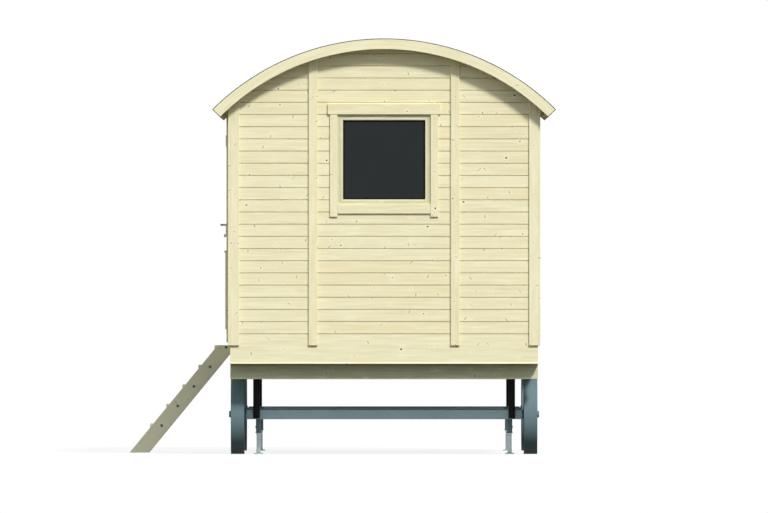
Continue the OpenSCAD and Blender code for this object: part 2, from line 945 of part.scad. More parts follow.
// A flat lever with a round end, from the neck towards the hinges
module lever_arm(x) {
    translate([x, 0, 0]) {
        rotate([0, 90, 0]) cylinder(r = neck_r + lever_boss, h = lever_h);
        block([0, -lever_l + lever_h / 2, -lever_h / 2], [lever_h, 0, lever_h / 2]);
        translate([0, -lever_l + lever_h / 2, 0]) rotate([0, 90, 0])
            cylinder(r = lever_h / 2, h = lever_h);
    }
}

// Two sloping boards, cut level at the ground and at the top and upright at the wall
module ladder_stringers() {
    half = ladder_w / 2;
    run = ladder_top / tan(ladder_angle);
    color(shaded_spruce) place() both_ends() along_y(-half, -half + stringer_t)
        intersection() {
            polygon([
                [-foot_front, 0], [-foot_back, 0],
                [-foot_back + run, ladder_top], [-foot_front + run, ladder_top]
            ]);
            translate([-foot_front, 0]) square([foot_front - half_w, ladder_top]);
        }
}

module ladder_treads() {
    half = ladder_w / 2 - stringer_t;
    color(shaded_spruce) place() for (i = [0 : tread_count - 1]) {
        top = ladder_top - i * tread_rise;
        front = -foot_front + top / tan(ladder_angle) - tread_nose;
        block([front, -half, top - tread_t], [front + tread_d, half, top]);
    }
}

front_cross_beam();
rear_cross_beam();
chassis_rails();
floor_joists();
floor_boards();
front_axle();
rear_axle();
axle_hangers();
front_left_wheel();
front_right_wheel();
rear_left_wheel();
rear_right_wheel();
jack_sleeves();
jack_bushes();
front_left_leg();
front_right_leg();
rear_left_leg();
rear_right_leg();
front_wall();
rear_wall();
right_wall();
left_wall_front();
left_wall_rear();
left_wall_over_door();
left_wall_under_door();
corner_boards();
battens();
window_casings();
window_sashes();
window_panes();
roof_ribs();
roof_deck();
eaves_boards();
front_barge_board();
rear_barge_board();
roof_felt();
door_lining();
door_casing();
door_threshold();
hinge_frames();
door_leaf();
door_panel();
door_glass();
hinge_flaps();
lock_plates();
door_lever();
ladder_stringers();
ladder_treads();
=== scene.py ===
from math import ceil, cos, pi, radians, sin, sqrt, tan

import bmesh
import bpy
import numpy as np
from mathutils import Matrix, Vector


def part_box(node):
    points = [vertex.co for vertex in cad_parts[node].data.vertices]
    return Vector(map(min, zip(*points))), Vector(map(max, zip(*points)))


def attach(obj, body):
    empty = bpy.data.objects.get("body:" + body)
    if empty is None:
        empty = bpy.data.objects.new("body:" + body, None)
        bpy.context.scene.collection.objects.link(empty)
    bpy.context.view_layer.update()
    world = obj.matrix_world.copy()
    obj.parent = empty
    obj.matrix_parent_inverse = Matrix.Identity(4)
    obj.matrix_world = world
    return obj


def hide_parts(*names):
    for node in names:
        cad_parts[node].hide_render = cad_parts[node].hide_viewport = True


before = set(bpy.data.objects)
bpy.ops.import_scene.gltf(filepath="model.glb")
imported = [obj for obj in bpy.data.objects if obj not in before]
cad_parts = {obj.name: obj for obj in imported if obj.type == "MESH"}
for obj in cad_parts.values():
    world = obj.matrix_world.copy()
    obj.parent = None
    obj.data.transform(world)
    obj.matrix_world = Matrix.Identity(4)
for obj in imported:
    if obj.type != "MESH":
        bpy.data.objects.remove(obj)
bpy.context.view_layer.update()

# The picture: the hut is seen square on to its front wall from far off, in soft daylight that
# comes over the right shoulder, on a white ground that keeps a faint shadow. The width of the
# front wall in the image gives the scale.
front_low, front_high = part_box("front_wall")
hut_middle = (front_low.x + front_high.x) / 2
image_width, image_height = 768, 513
front_width_px, front_middle_px, ground_px = 307.8, 384.1, 454.65
metres_per_px = (front_high.x - front_low.x) / front_width_px
camera = bpy.data.objects.new("camera", bpy.data.cameras.new("camera"))
bpy.context.scene.collection.objects.link(camera)
bpy.context.scene.camera = camera
camera.data.sensor_width = 36
camera.data.lens = 1150
camera.data.clip_end = 1000
camera_distance = image_width * metres_per_px * camera.data.lens / camera.data.sensor_width
camera.location = (
    hut_middle + (image_width / 2 - front_middle_px) * metres_per_px,
    front_low.y - camera_distance,
    (ground_px - image_height / 2) * metres_per_px,
)
camera.rotation_euler = (radians(90), 0, 0)
bpy.context.scene.view_settings.view_transform = "Standard"

sun_travel, sun_strength, sun_angle = Vector((-0.47, 0.945, -1)), 3.0, 9
sun_colour, sky_colour, sky_strength = (1, 0.985, 0.955), (0.91, 0.99, 1, 1), 0.68
fill_place, fill_aim = Vector((-2.7, -5.2, 0.5)), Vector((-1.95, -0.3, 0.22))
fill_strength, fill_size, fill_spread = 1.2, 0.7, 26


def lamp(name, kind, strength, travel):
    """A lamp that shines the way of travel."""
    made = bpy.data.objects.new(name, bpy.data.lights.new(name, kind))
    bpy.context.scene.collection.objects.link(made)
    made.data.energy = strength
    made.rotation_euler = travel.to_track_quat("-Z", "Y").to_euler()
    return made


sun = lamp("sun", "SUN", sun_strength, sun_travel)
sun.data.angle = radians(sun_angle)
sun.data.color = sun_colour
fill = lamp("fill", "AREA", fill_strength, fill_aim - fill_place)
fill.location = fill_place
fill.data.size = fill_size
fill.data.spread = radians(fill_spread)
fill.visible_camera = False
fill.visible_glossy = False


def display(red, green, blue):
    """An 8-bit display colour as the linear colour that Blender works in."""
    share = np.array([red, green, blue]) / 255
    linear = np.where(share <= 0.04045, share / 12.92, ((share + 0.055) / 1.055) ** 2.4)
    return (*linear.tolist(), 1)


class Value:
    """A number, vector or shader on a socket. Python maths on numbers adds Math nodes."""

    def __init__(self, finish, socket):
        self.finish, self.socket = finish, socket

    def maths(self, operation, *inputs):
        return self.finish.node("ShaderNodeMath", {"operation": operation}, dict(enumerate(inputs)))

    def __add__(self, other):
        return self.maths("ADD", self, other)

    __radd__ = __add__

    def __sub__(self, other):
        return self.maths("SUBTRACT", self, other)

    def __rsub__(self, other):
        return self.maths("SUBTRACT", other, self)

    def __mul__(self, other):
        return self.maths("MULTIPLY", self, other)

    __rmul__ = __mul__

    def __truediv__(self, other):
        return self.maths("DIVIDE", self, other)

    def __rtruediv__(self, other):
        return self.maths("DIVIDE", other, self)

    def __pow__(self, other):
        return self.maths("POWER", self, other)

    def __rpow__(self, other):
        return self.maths("POWER", other, self)

    def __gt__(self, other):
        return self.maths("GREATER_THAN", self, other)

    def __lt__(self, other):
        return self.maths("LESS_THAN", self, other)

    def held(self):
        """The value, held between 0 and 1."""
        return self.finish.node("ShaderNodeClamp", {}, {"Value": self})

    def bell(self, width):
        """1 where the value is 0, falling off as exp(-(value / width) squared)."""
        share = self / width
        return self.maths("EXPONENT", share * share * -1)


class Finish:
    """The nodes of a material or of the world. node() adds any node, and set() sets the sockets
    of the material's Principled shader."""

    def __init__(self, name, owner=None):
        self.material = owner or bpy.data.materials.new(name)
        self.material.use_nodes = True
        self.tree = self.material.node_tree
        self.surface = self.tree.nodes.get("Principled BSDF")

    def node(self, kind, settings, inputs, output=0):
        """Adds a node, sets its settings and then its inputs, and returns one output or several."""
        made = self.tree.nodes.new(kind)
        for setting, value in settings.items():
            setattr(made, setting, value)
        for key, value in inputs.items():
            self.join(made.inputs[key], value)
        if isinstance(output, tuple):
            return [Value(self, made.outputs[key]) for key in output]
        return Value(self, made.outputs[output])

    def join(self, socket, value):
        if isinstance(value, Value):
            self.tree.links.new(value.socket, socket)
        else:
            socket.default_value = value

    def set(self, **inputs):
        """Sets the Principled shader's sockets; Base_Color stands for Base Color."""
        for key, value in inputs.items():
            self.join(self.surface.inputs[key.replace("_", " ")], value)

    def split(self, vector):
        return self.node("ShaderNodeSeparateXYZ", {}, {0: vector}, ("X", "Y", "Z"))

    def vector(self, x, y, z=0):
        return self.node("ShaderNodeCombineXYZ", {}, {0: x, 1: y, 2: z})

    def attribute(self, name):
        return self.node("ShaderNodeAttribute", {"attribute_name": name}, {}, "Vector")

    def noise(self, spot, scale=1, detail=2):
        return self.node("ShaderNodeTexNoise", {}, {"Vector": spot, "Scale": scale, "Detail": detail})

    def mix(self, share, first, second):
        return self.node("ShaderNodeMix", {"data_type": "RGBA"}, {0: share, 6: first, 7: second}, 2)

    def spot(self):
        """Where on the object each point lies."""
        return self.node("ShaderNodeTexCoord", {}, {}, "Object")

    def bump(self, height, distance, strength=1):
        """Tilts the surface as if it rose by height times distance, in metres."""
        self.set(Normal=self.node(
            "ShaderNodeBump", {}, {"Height": height, "Distance": distance, "Strength": strength}
        ))

    def show(self, cast, seen, output):
        """Ends in the cast shader for light that goes on to the object, and in the seen one where
        the camera, a reflection or clear glass looks."""
        straight, mirrored, through = self.node(
            "ShaderNodeLightPath", {}, {}, ("Is Camera Ray", "Is Glossy Ray", "Is Transmission Ray")
        )
        looks = straight.maths("MAXIMUM", straight, mirrored)
        looks = looks.maths("MAXIMUM", looks, through)
        both = self.node("ShaderNodeMixShader", {}, {0: looks, 1: cast, 2: seen})
        self.join(self.tree.nodes[output].inputs["Surface"], both)


white = (1, 1, 1, 1)
daylight = Finish("daylight", bpy.data.worlds.new("daylight"))
bpy.context.scene.world = daylight.material
sky = daylight.tree.nodes["Background"]
daylight.join(sky.inputs["Color"], sky_colour)
daylight.join(sky.inputs["Strength"], sky_strength)
white_sky = daylight.node("ShaderNodeBackground", {}, {"Color": white, "Strength": 1})
daylight.show(Value(daylight, sky.outputs[0]), white_sky, "World Output")

floor_reach, floor_glow = 40, 0.86
floor_shade, floor_cast = (0.13, 0.13, 0.13, 1), (0.025, 0.025, 0.024, 1)
floor_mesh = bpy.data.meshes.new("floor")
floor_mesh.from_pydata(
    [(x * floor_reach, y * floor_reach, 0) for x, y in ((-1, -1), (1, -1), (1, 1), (-1, 1))],
    [], [(0, 1, 2, 3)],
)
floor = bpy.data.objects.new("floor", floor_mesh)
bpy.context.scene.collection.objects.link(floor)
ground = Finish("ground")
ground.set(Base_Color=floor_cast, Roughness=1, Specular_IOR_Level=0)
glow = ground.node("ShaderNodeEmission", {}, {"Color": white, "Strength": floor_glow})
lit = ground.node("ShaderNodeBsdfDiffuse", {}, {"Color": floor_shade})
pale_ground = ground.node("ShaderNodeAddShader", {}, {0: glow, 1: lit})
ground.show(Value(ground, ground.surface.outputs[0]), pale_ground, "Material Output")
floor_mesh.materials.append(ground.material)

# Chassis: two rails and two cross beams of spruce under the floor, bolted to the axles.
# Timber comes as squared lengths with lightly broken edges. Every board carries its own place in
# the log it was sawn from, so that no two show the same grain.
draws = np.random.default_rng(41)


def squared(across, deep, edge):
    """A board's section between two pairs of limits, with its four corners cut off."""
    (a0, a1), (d0, d1) = across, deep
    return [
        (a0 + edge, d0), (a1 - edge, d0), (a1, d0 + edge), (a1, d1 - edge),
        (a1 - edge, d1), (a0 + edge, d1), (a0, d1 - edge), (a0, d0 + edge),
    ]


class Stock:
    """Lengths of timber or steel in one mesh: each is a section carried along a line or arc."""

    def __init__(self):
        self.points, self.faces, self.grain, self.board = [], [], [], []
        self.count = 0

    def add(self, place, ends, section, edge=0.002, steps=1, under=None):
        """Adds a board. Its rings of points are the section at places between the two ends,
        which may be functions of across, and a smaller section that breaks the edge at each
        end. place turns (along, across, deep) into x, y, z, and under gives the greatest z."""
        section = np.array(section)
        low, high = section.min(0), section.max(0)
        middle = (low + high) / 2
        small = middle + (section - middle) * (1 - 2 * edge / (high - low))
        start, end = (
            limit(section[:, 0]) if callable(limit) else np.full(len(section), float(limit))
            for limit in ends
        )
        share = np.linspace(0, 1, steps + 1)[:, None]
        along = np.vstack([start, start + edge + (end - start - 2 * edge) * share, end])
        rings = np.stack([small] + [section] * (steps + 1) + [small])
        local = np.dstack([along, rings])
        points = place(local)
        if under is not None:
            points[..., 2] = np.minimum(points[..., 2], under(points))
        ring = np.arange(along.size).reshape(along.shape)
        after = np.roll(ring, -1, 1)
        quads = np.stack([ring[:-1], after[:-1], after[1:], ring[1:]], -1).reshape(-1, 4)
        flat = points.reshape(-1, 3)
        corner = flat[quads]
        outward = corner - points.mean(1)[np.arange(len(quads)) // len(section), None]
        turn = np.cross(corner[:, 1] - corner[:, 0], corner[:, 3] - corner[:, 0])
        quads, caps = quads + self.count, [ring[0][::-1] + self.count, ring[-1] + self.count]
        if (turn * outward[:, 0]).sum() < 0:
            quads, caps = quads[:, ::-1], [cap[::-1] for cap in caps]
        self.faces += quads.tolist() + [cap.tolist() for cap in caps]
        self.points.append(flat)
        self.count += len(flat)
        width, depth = high - low
        pith = np.array([draws.uniform(0, 60), draws.uniform(-0.8, 0.8) * width,
                         draws.choice([-1, 1]) * (depth + draws.uniform(0.01, 0.07))])
        self.grain.append(local.reshape(-1, 3) - [0, *middle] + pith)
        self.board.append(np.tile(draws.random(3), (len(flat), 1)))

    def block(self, low, high, edge=0.002, under=None):
        """A board that fills the box between two corners, with its grain along the longest side."""
        order = np.argsort(np.array(low) - np.array(high))
        spans = [(low[i], high[i]) for i in order]

        def place(local):
            points = np.empty_like(local)
            points[..., order] = local
            return points

        self.add(place, spans[0], squared(spans[1], spans[2], edge), edge, 1, under)

    def piece(self, name, body, slot, material, nodes=()):
        """Makes the mesh, with sharp edges over 30 degrees, and says what it rides on."""
        mesh = bpy.data.meshes.new(name)
        mesh.from_pydata(np.concatenate(self.points), [], self.faces)
        for key, rows in (("grain", self.grain), ("board", self.board)):
            layer = mesh.attributes.new(key, "FLOAT_VECTOR", "POINT")
            layer.data.foreach_set("vector", np.concatenate(rows).astype(np.float32).ravel())
        mesh.shade_smooth()
        mesh.set_sharp_from_angle(angle=radians(30))
        placed(name, mesh, body, material, nodes)


def placed(name, mesh, body, material, nodes=()):
    """Puts a mesh into the scene on its body, in place of CAD nodes where it has any."""
    made = bpy.data.objects.new(name, mesh)
    bpy.context.scene.collection.objects.link(made)
    mesh.materials.clear()
    mesh.materials.append(material)
    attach(made, body)
    if nodes:
        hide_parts(*nodes)


def solids(node):
    """The boxes round the separate solids of a CAD node: triangles that share a corner belong
    together, so each point takes the least label of the triangles round it until none changes."""
    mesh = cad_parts[node].data
    points = np.empty(len(mesh.vertices) * 3, np.float32)
    mesh.vertices.foreach_get("co", points)
    points = points.reshape(-1, 3).astype(float)
    corners = np.empty(len(mesh.loops), np.int64)
    mesh.loops.foreach_get("vertex_index", corners)
    _, same = np.unique(np.round(points * 1e5).astype(np.int64), axis=0, return_inverse=True)
    triangles = same.ravel()[corners].reshape(-1, 3)
    label = np.arange(same.max() + 1)
    while True:
        lower = label.copy()
        np.minimum.at(lower, triangles, label[triangles].min(1)[:, None])
        if (lower == label).all():
            break
        label = lower
    belongs = label[same.ravel()]
    return [
        (points[belongs == one].min(0), points[belongs == one].max(0)) for one in np.unique(belongs)
    ]


ring_width = 0.0034
knots_along, knots_across, knot_share = 2.6, 10, 0.62
knot_least, knot_growth, knot_blur, halo_width = 0.0022, 0.0065, 0.0022, 0.017
spikes_along, spikes_across, spike_share = 4.2, 8, 0.55
spike_lean, spike_width, spike_long, curl_width, curl_long = 3, 0.0045, 0.011, 0.020, 0.018
knot_tone, spike_tone = display(86, 52, 28), display(132, 104, 62)
clear_tone, painted_sheen_tone = display(251, 246, 216), display(252, 247, 218)


def spruce(name, pale, ring_tone, warm, knots=1.0):
    """Planed spruce. Growth rings are circles round the pith, pushed about along the board and round each
    knot. Knots are dots in long cells, and spike knots are short slanting strokes in cells of their own. Soft
    streaks and clouds lie along the grain, and boards differ in tone. Pale streaks along the grain are
    painted sheen."""
    finish = Finish(name)
    along, across, deep = finish.split(finish.attribute("grain"))
    tone, hue, _ = finish.split(finish.attribute("board"))

    def cells(per_metre_along, per_metre_across, shift):
        """The way from each point to the middle of its cell, in metres, and three random numbers."""
        u, v = along * per_metre_along + shift, across * per_metre_across + shift
        spot, lot = finish.node(
            "ShaderNodeTexVoronoi", {"voronoi_dimensions": "2D"},
            {"Vector": finish.vector(u, v), "Scale": 1}, ("Position", "Color"),
        )
        spot_u, spot_v, _ = finish.split(spot)
        return (u - spot_u) / per_metre_along, (v - spot_v) / per_metre_across, finish.split(lot)

    du, dv, (size, chance, dark) = cells(knots_along, knots_across, 0)
    far = (du * du + dv * dv * 1.4) ** 0.5
    is_knot = chance > 1 - knot_share * knots
    radius = knot_least + size * size * size * knot_growth
    knot = ((radius - far) / knot_blur + 0.5).held() * is_knot
    halo = (far - radius).bell(halo_width) * is_knot

    su, sv, (lean, spike_chance, faint) = cells(spikes_along, spikes_across, 31.7)
    is_spike = spike_chance > 1 - spike_share * knots
    slanted = su - sv * (lean - 0.5) * spike_lean
    spike = slanted.bell(spike_width) * sv.bell(spike_long) * is_spike
    curl = slanted.bell(curl_width) * sv.bell(curl_long) * is_spike

    bend = finish.noise(finish.vector(along * 0.8, across * 3, deep * 3))
    tremor = finish.noise(finish.vector(along * 6, across * 40, deep * 40), detail=1)
    distance = (across * across + deep * deep) ** 0.5 + bend * 0.03
    distance = distance + halo * 0.008 + curl * 0.009 + tremor * 0.0014
    ring = (distance / ring_width).maths("FRACT", distance / ring_width) ** 3
    streak = finish.noise(finish.vector(along * 2.2, across * 60, deep * 60), detail=2)
    cloud = finish.noise(finish.vector(along * 3.2, across * 22, deep * 22), detail=3)
    painted_sheen = finish.noise(finish.vector(along * 5, across * 45 + 9, deep * 45), detail=1)

    shade = (ring * 0.3 + streak * 1.1 + cloud * 0.9 - 0.75).held()
    colour = finish.mix(shade * (0.65 + tone * 0.3), pale, ring_tone)
    colour = finish.mix(hue * hue * 0.4, colour, warm)
    # Painted sheen: pale streaks along the grain, put into the colour as a shine.
    colour = finish.mix((painted_sheen * 4 - 2.3).held() * 0.6, colour, painted_sheen_tone)
    colour = finish.mix((halo * 0.5 + curl * 0.5).held(), colour, clear_tone)
    colour = finish.mix(spike * (0.45 + faint * 0.5), colour, spike_tone)
    colour = finish.mix(knot * (0.75 + dark * 0.25), colour, knot_tone)
    finish.set(
        Base_Color=colour, Roughness=0.5 + streak * 0.15 + knot * 0.1, Specular_IOR_Level=0.3
    )
    finish.bump(ring * -0.35 + streak * 0.5 - knot * 0.6 - spike * 0.3, 0.0006, 0.5)
    return finish.material


planed = spruce(
    "planed spruce", display(245, 238, 203), display(217, 205, 158), display(240, 223, 176)
)
# A darker, greener copy of the planed spruce for the chassis and floor frame: painted shade for their place
# under the hut.
shade_darkened_spruce = spruce(
    "spruce darkened as painted shade", display(222, 220, 182), display(192, 189, 146), display(214, 208, 168), 0.8
)
chassis = Stock()
chassis_nodes = ("front_cross_beam", "rear_cross_beam", "chassis_rails")
beam_edge = 0.003
for node in chassis_nodes:
    for low, high in solids(node):
        chassis.block(low, high, beam_edge)
chassis.piece("chassis_beams", "hut", "shaded_wood", shade_darkened_spruce, chassis_nodes)

# Axles: a square steel tube with rounded corners under each end of the hut, in blue-grey enamel.
# A plug is welded into each end and carries a collar and the spindle that the wheel turns on.
wheel_low, wheel_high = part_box("front_right_wheel")
wheel_radius = (wheel_high.z - wheel_low.z) / 2
axle_y = (wheel_low.y + wheel_high.y) / 2
axle_side, axle_corner = 0.080, 0.010
wheel_face, rim_width = 1.198, 0.106
rim_inner = wheel_face - rim_width
axle_end = rim_inner - 0.014
spindle_radius, spindle_end = 0.022, wheel_face - 0.002
collar_radius, collar_long = 0.034, 0.006


def rounded(across, deep, radius, steps=4):
    """A section between two pairs of limits, with its corners as quarter circles."""
    (a0, a1), (d0, d1) = across, deep
    turn = np.linspace(0, pi / 2, steps + 1)
    return [
        (a + radius * cos(start + t), d + radius * sin(start + t))
        for a, d, start in (
            (a1 - radius, d1 - radius, 0), (a0 + radius, d1 - radius, pi / 2),
            (a0 + radius, d0 + radius, pi), (a1 - radius, d0 + radius, 1.5 * pi),
        )
        for t in turn
    ]


def disc(radius, steps=32):
    """A round section about zero."""
    turn = np.linspace(0, 2 * pi, steps, endpoint=False)
    return np.stack([radius * np.cos(turn), radius * np.sin(turn)], -1)


def beside(x, y, z, axis=0, way=1):
    """Turns (along, across, deep) to x, y, z from a point, with along on the given axis."""
    return lambda local: np.array([x, y, z]) + np.roll(local * [way, 1, 1], axis, -1)


# The pale band at the foot of painted parts: partly dust, partly a painted reflection of the ground.
foot_dust_and_reflection_height, foot_dust_and_reflection_tone = 0.05, display(176, 184, 178)


def enamel(name, deep_tone, light_tone, grain_size, roughness, flakes=0.0):
    """Paint on steel: a little cloudiness, fine unevenness, and a pale band near the ground that is partly
    dust and partly a painted reflection of the ground. Flakes is the share of metal in it."""
    finish = Finish(name)
    spot = finish.spot()
    cloud = finish.noise(spot, 5, 3)
    skin = finish.noise(spot, grain_size, 2)
    # Near the ground the paint turns pale and less metallic: partly dust, partly a painted reflection of the
    # ground.
    near_ground = finish.split(spot)[2].bell(foot_dust_and_reflection_height)
    pale_patches = ((finish.noise(spot, 22, 3) + 0.3) * near_ground).held()
    colour = finish.mix((cloud * 0.8 + skin * 0.3 - 0.05).held(), deep_tone, light_tone)
    finish.set(
        Base_Color=finish.mix(pale_patches * 0.7, colour, foot_dust_and_reflection_tone),
        Roughness=roughness + skin * 0.14 + pale_patches * 0.2,
        Metallic=(1 - pale_patches * 0.9) * flakes, Specular_IOR_Level=0.1,
    )
    finish.bump(skin, 0.0005, 0.5)
    return finish.material


# The axles' enamel is mixed paler than the wheels': painted light that makes up for the shade under the hut.
axle_paint_paled_for_shade = enamel(
    "blue-grey enamel paled as painted light", display(148, 172, 179), display(164, 188, 195), 260, 0.36, 0.38
)
for end, y in (("front", axle_y), ("rear", -axle_y)):
    axle = Stock()
    half = axle_side / 2
    axle.add(
        beside(hut_middle, y, wheel_radius), (-axle_end, axle_end),
        rounded((-half, half), (-half, half), axle_corner, 5), 0.0008,
    )
    for side in (-1, 1):
        out = beside(hut_middle, y, wheel_radius, 0, side)
        axle.add(out, (axle_end, axle_end + collar_long), disc(collar_radius), 0.0015)
        axle.add(out, (axle_end, spindle_end), disc(spindle_radius), 0.002)
    axle.piece(end + "_axle_tube", "hut", "axle_steel", axle_paint_paled_for_shade, (end + "_axle",))

# Hanger posts: black square bars welded to the outer faces of the axle tubes. Each reaches up to
# a flat plate that is bolted to a rail from below.
hangers = Stock()
bolt_radius, bolt_head, washer_radius, washer_thick = 0.0095, 0.008, 0.013, 0.002
plate_thick, near_bolt, far_bolt = 0.010, 0.030, 0.085
for low, high in solids("axle_hangers"):
    post_width = high[0] - low[0]
    outer = 1 if high[1] > 0 else -1
    far, near = (high[1], low[1]) if outer > 0 else (low[1], high[1])
    root = far - outer * post_width
    hangers.add(
        beside(0, 0, 0, 2), (low[2], high[2]),
        rounded((low[0], high[0]), sorted((far, root)), 0.003, 2), 0.0015,
    )
    y0, y1 = sorted((root, near))
    hangers.block((low[0], y0, high[2] - plate_thick), (high[0], y1, high[2]), 0.0015)
    for reach in (near_bolt, far_bolt):
        under_plate = beside(
            (low[0] + high[0]) / 2, root - outer * reach, high[2] - plate_thick, 2, -1
        )
        hangers.add(under_plate, (0, washer_thick), disc(washer_radius, 24), 0.0004)
        hangers.add(
            under_plate, (washer_thick, washer_thick + bolt_head), disc(bolt_radius, 6), 0.0008
        )
post_paint = enamel("black enamel", display(16, 17, 17), display(30, 32, 32), 300, 0.42)
hangers.piece("hanger_posts", "hut", "black_steel", post_paint, ("axle_hangers",))

# Wheels: iron castings in dark slate enamel, with a rib inside the rim and twelve cross-shaped
# spokes that widen into the rim and the hub. A cap closes the hub over the end of the spindle.
rim_thick, rim_rib_width, rim_rib_height = 0.014, 0.024, 0.016
cast_edge, cast_fillet = 0.0022, 0.005
hub_radius, hub_inner, hub_bore = 0.048, 1.085, 0.0221
cap_radius, cap_long, pole = 0.0265, 0.015, 0.0005
spoke_count, spoke_stations, spoke_root_depth = 12, 14, 0.006
blade_at_hub, blade_at_rim, blade_half_thick = 0.044, 0.030, 0.007
rib_at_hub, rib_at_rim, rib_half_thick = 0.068, 0.036, 0.0055
spoke_fillet, fillet_spread = 0.022, 0.007


def turned(profile, steps):
    """Carries a closed (x, radius) profile round the axle in equal steps: y and z are the radius
    times the sine and cosine of the turn. Returns the grid of points, one row for each step."""
    turn = np.linspace(0, 2 * pi, steps, endpoint=False)[:, None]
    x, radius = np.array(profile).T
    return np.stack([x + 0 * turn, radius * np.sin(turn), radius * np.cos(turn)], -1)


def tubular(grid, around):
    """The quads of a grid whose rows are closed rings, closed along the other way too if asked."""
    rows, columns = grid.shape[:2]
    ring = np.arange(rows * columns).reshape(rows, columns)
    if around:
        ring = np.vstack([ring, ring[:1]])
    after = np.roll(ring, -1, 1)
    return np.stack([ring[:-1], after[:-1], after[1:], ring[1:]], -1).reshape(-1, 4)


def cast(name, grids, sharp):
    """One mesh of closed parts, from pairs of a grid and whether it closes both ways. Open ends
    are filled, faces turn outwards, and edges over the sharp angle in degrees stay sharp."""
    points = [grid.reshape(-1, 3) for grid, around in grids]
    starts = np.cumsum([0] + [len(rows) for rows in points])
    faces = [tubular(grid, around) + start for (grid, around), start in zip(grids, starts)]
    mesh = bpy.data.meshes.new(name)
    mesh.from_pydata(np.vstack(points), [], np.vstack(faces).tolist())
    work = bmesh.new()
    work.from_mesh(mesh)
    bmesh.ops.remove_doubles(work, verts=work.verts, dist=0.00001)
    bmesh.ops.holes_fill(work, edges=work.edges)
    bmesh.ops.recalc_face_normals(work, faces=work.faces)
    work.to_mesh(mesh)
    work.free()
    mesh.shade_smooth()
    mesh.set_sharp_from_angle(angle=radians(sharp))
    return mesh


def spoke_rings():
    """A spoke as rings of one section: a blade across the wheel and a rib along the axle, both
    tapered. Near the hub and the rim both spread by the square of what is left of a fillet."""
    inside = wheel_radius - rim_thick
    reach = np.linspace(hub_radius - spoke_root_depth, inside - spoke_root_depth, spoke_stations)
    reach = reach[:, None]
    share = (reach - reach[0]) / (reach[-1] - reach[0])
    spread = (
        np.maximum(1 - (reach - hub_radius) / spoke_fillet, 0) ** 2
        + np.maximum(1 - (inside - rim_rib_height - reach) / spoke_fillet, 0) ** 2
    ) * fillet_spread
    blade = (blade_at_hub + (blade_at_rim - blade_at_hub) * share) / 2 + spread
    rib = (rib_at_hub + (rib_at_rim - rib_at_hub) * share) / 2
    blade_half, rib_half = blade_half_thick + spread * 0.6, rib_half_thick + spread * 0.4
    fine, soft = 0.0018, 0.004
    quarter = [
        (blade, blade_half - fine), (blade - fine, blade_half),
        (rib_half + soft, blade_half), (rib_half, blade_half + soft),
        (rib_half, rib - fine), (rib_half - fine, rib),
    ]
    corners = []
    for way, (s, t) in enumerate(((1, 1), (-1, 1), (-1, -1), (1, -1))):
        points = [(s * a, t * b) for a, b in quarter]
        corners += points if way % 2 == 0 else points[::-1]
    across = np.hstack([np.broadcast_to(a, reach.shape) for a, b in corners])
    axial = np.hstack([np.broadcast_to(b, reach.shape) for a, b in corners])
    return across, axial, np.broadcast_to(reach, across.shape)


def wheel_mesh(name, side, y):
    """Joins rim, hub and spokes in one mesh, on the left (-1) or on the right (1)."""
    middle = rim_inner + rim_width / 2
    inside = wheel_radius - rim_thick
    rib = inside - rim_rib_height
    half, edge, fillet = rim_rib_width / 2, cast_edge, cast_fillet
    ridge = [(half, rib + edge), (half, inside - fillet), (half + fillet * 0.3, inside - fillet * 0.3),
             (half + fillet, inside)]
    rim = [
        (rim_inner + edge, wheel_radius), (rim_inner, wheel_radius - edge),
        (rim_inner, inside + edge), (rim_inner + edge, inside),
        *[(middle - across, radius) for across, radius in ridge[::-1]],
        (middle - half + edge, rib), (middle + half - edge, rib),
        *[(middle + across, radius) for across, radius in ridge],
        (wheel_face - edge, inside), (wheel_face, inside + edge),
        (wheel_face, wheel_radius - edge), (wheel_face - edge, wheel_radius),
    ]
    cap_end = wheel_face + cap_long
    hub = [
        (hub_inner, hub_bore), (hub_inner, hub_radius - 0.004), (hub_inner + 0.004, hub_radius),
        (wheel_face - 0.006, hub_radius), (wheel_face - 0.002, hub_radius - 0.002),
        (wheel_face, hub_radius - 0.006), (wheel_face, cap_radius + 0.002),
        (wheel_face + 0.001, cap_radius), (cap_end - 0.005, cap_radius),
        (cap_end - 0.001, cap_radius - 0.004), (cap_end, cap_radius - 0.010),
        (cap_end, pole), (wheel_face + 0.001, pole), (wheel_face + 0.001, hub_bore),
    ]
    grids = [(turned(rim, 144), True), (turned(hub, 64), True)]
    across, axial, reach = spoke_rings()
    for i in range(spoke_count):
        c, s = cos(2 * pi * i / spoke_count), sin(2 * pi * i / spoke_count)
        spoke = np.stack([middle + axial, across * c + reach * s, reach * c - across * s], -1)
        grids.append((spoke, False))
    centre = [hut_middle, y, wheel_radius]
    return cast(name, [(grid * [side, 1, 1] + centre, around) for grid, around in grids], 32)


iron = enamel("slate enamel", display(100, 122, 129), display(116, 138, 145), 140, 0.4)
for end, y in (("front", axle_y), ("rear", -axle_y)):
    for flank, side in (("left", -1), ("right", 1)):
        name = f"{end}_{flank}_wheel"
        placed(
            name + "_casting", wheel_mesh(name, side, y), f"wheel_{end[0]}{flank[0]}",
            iron, (name,)
        )

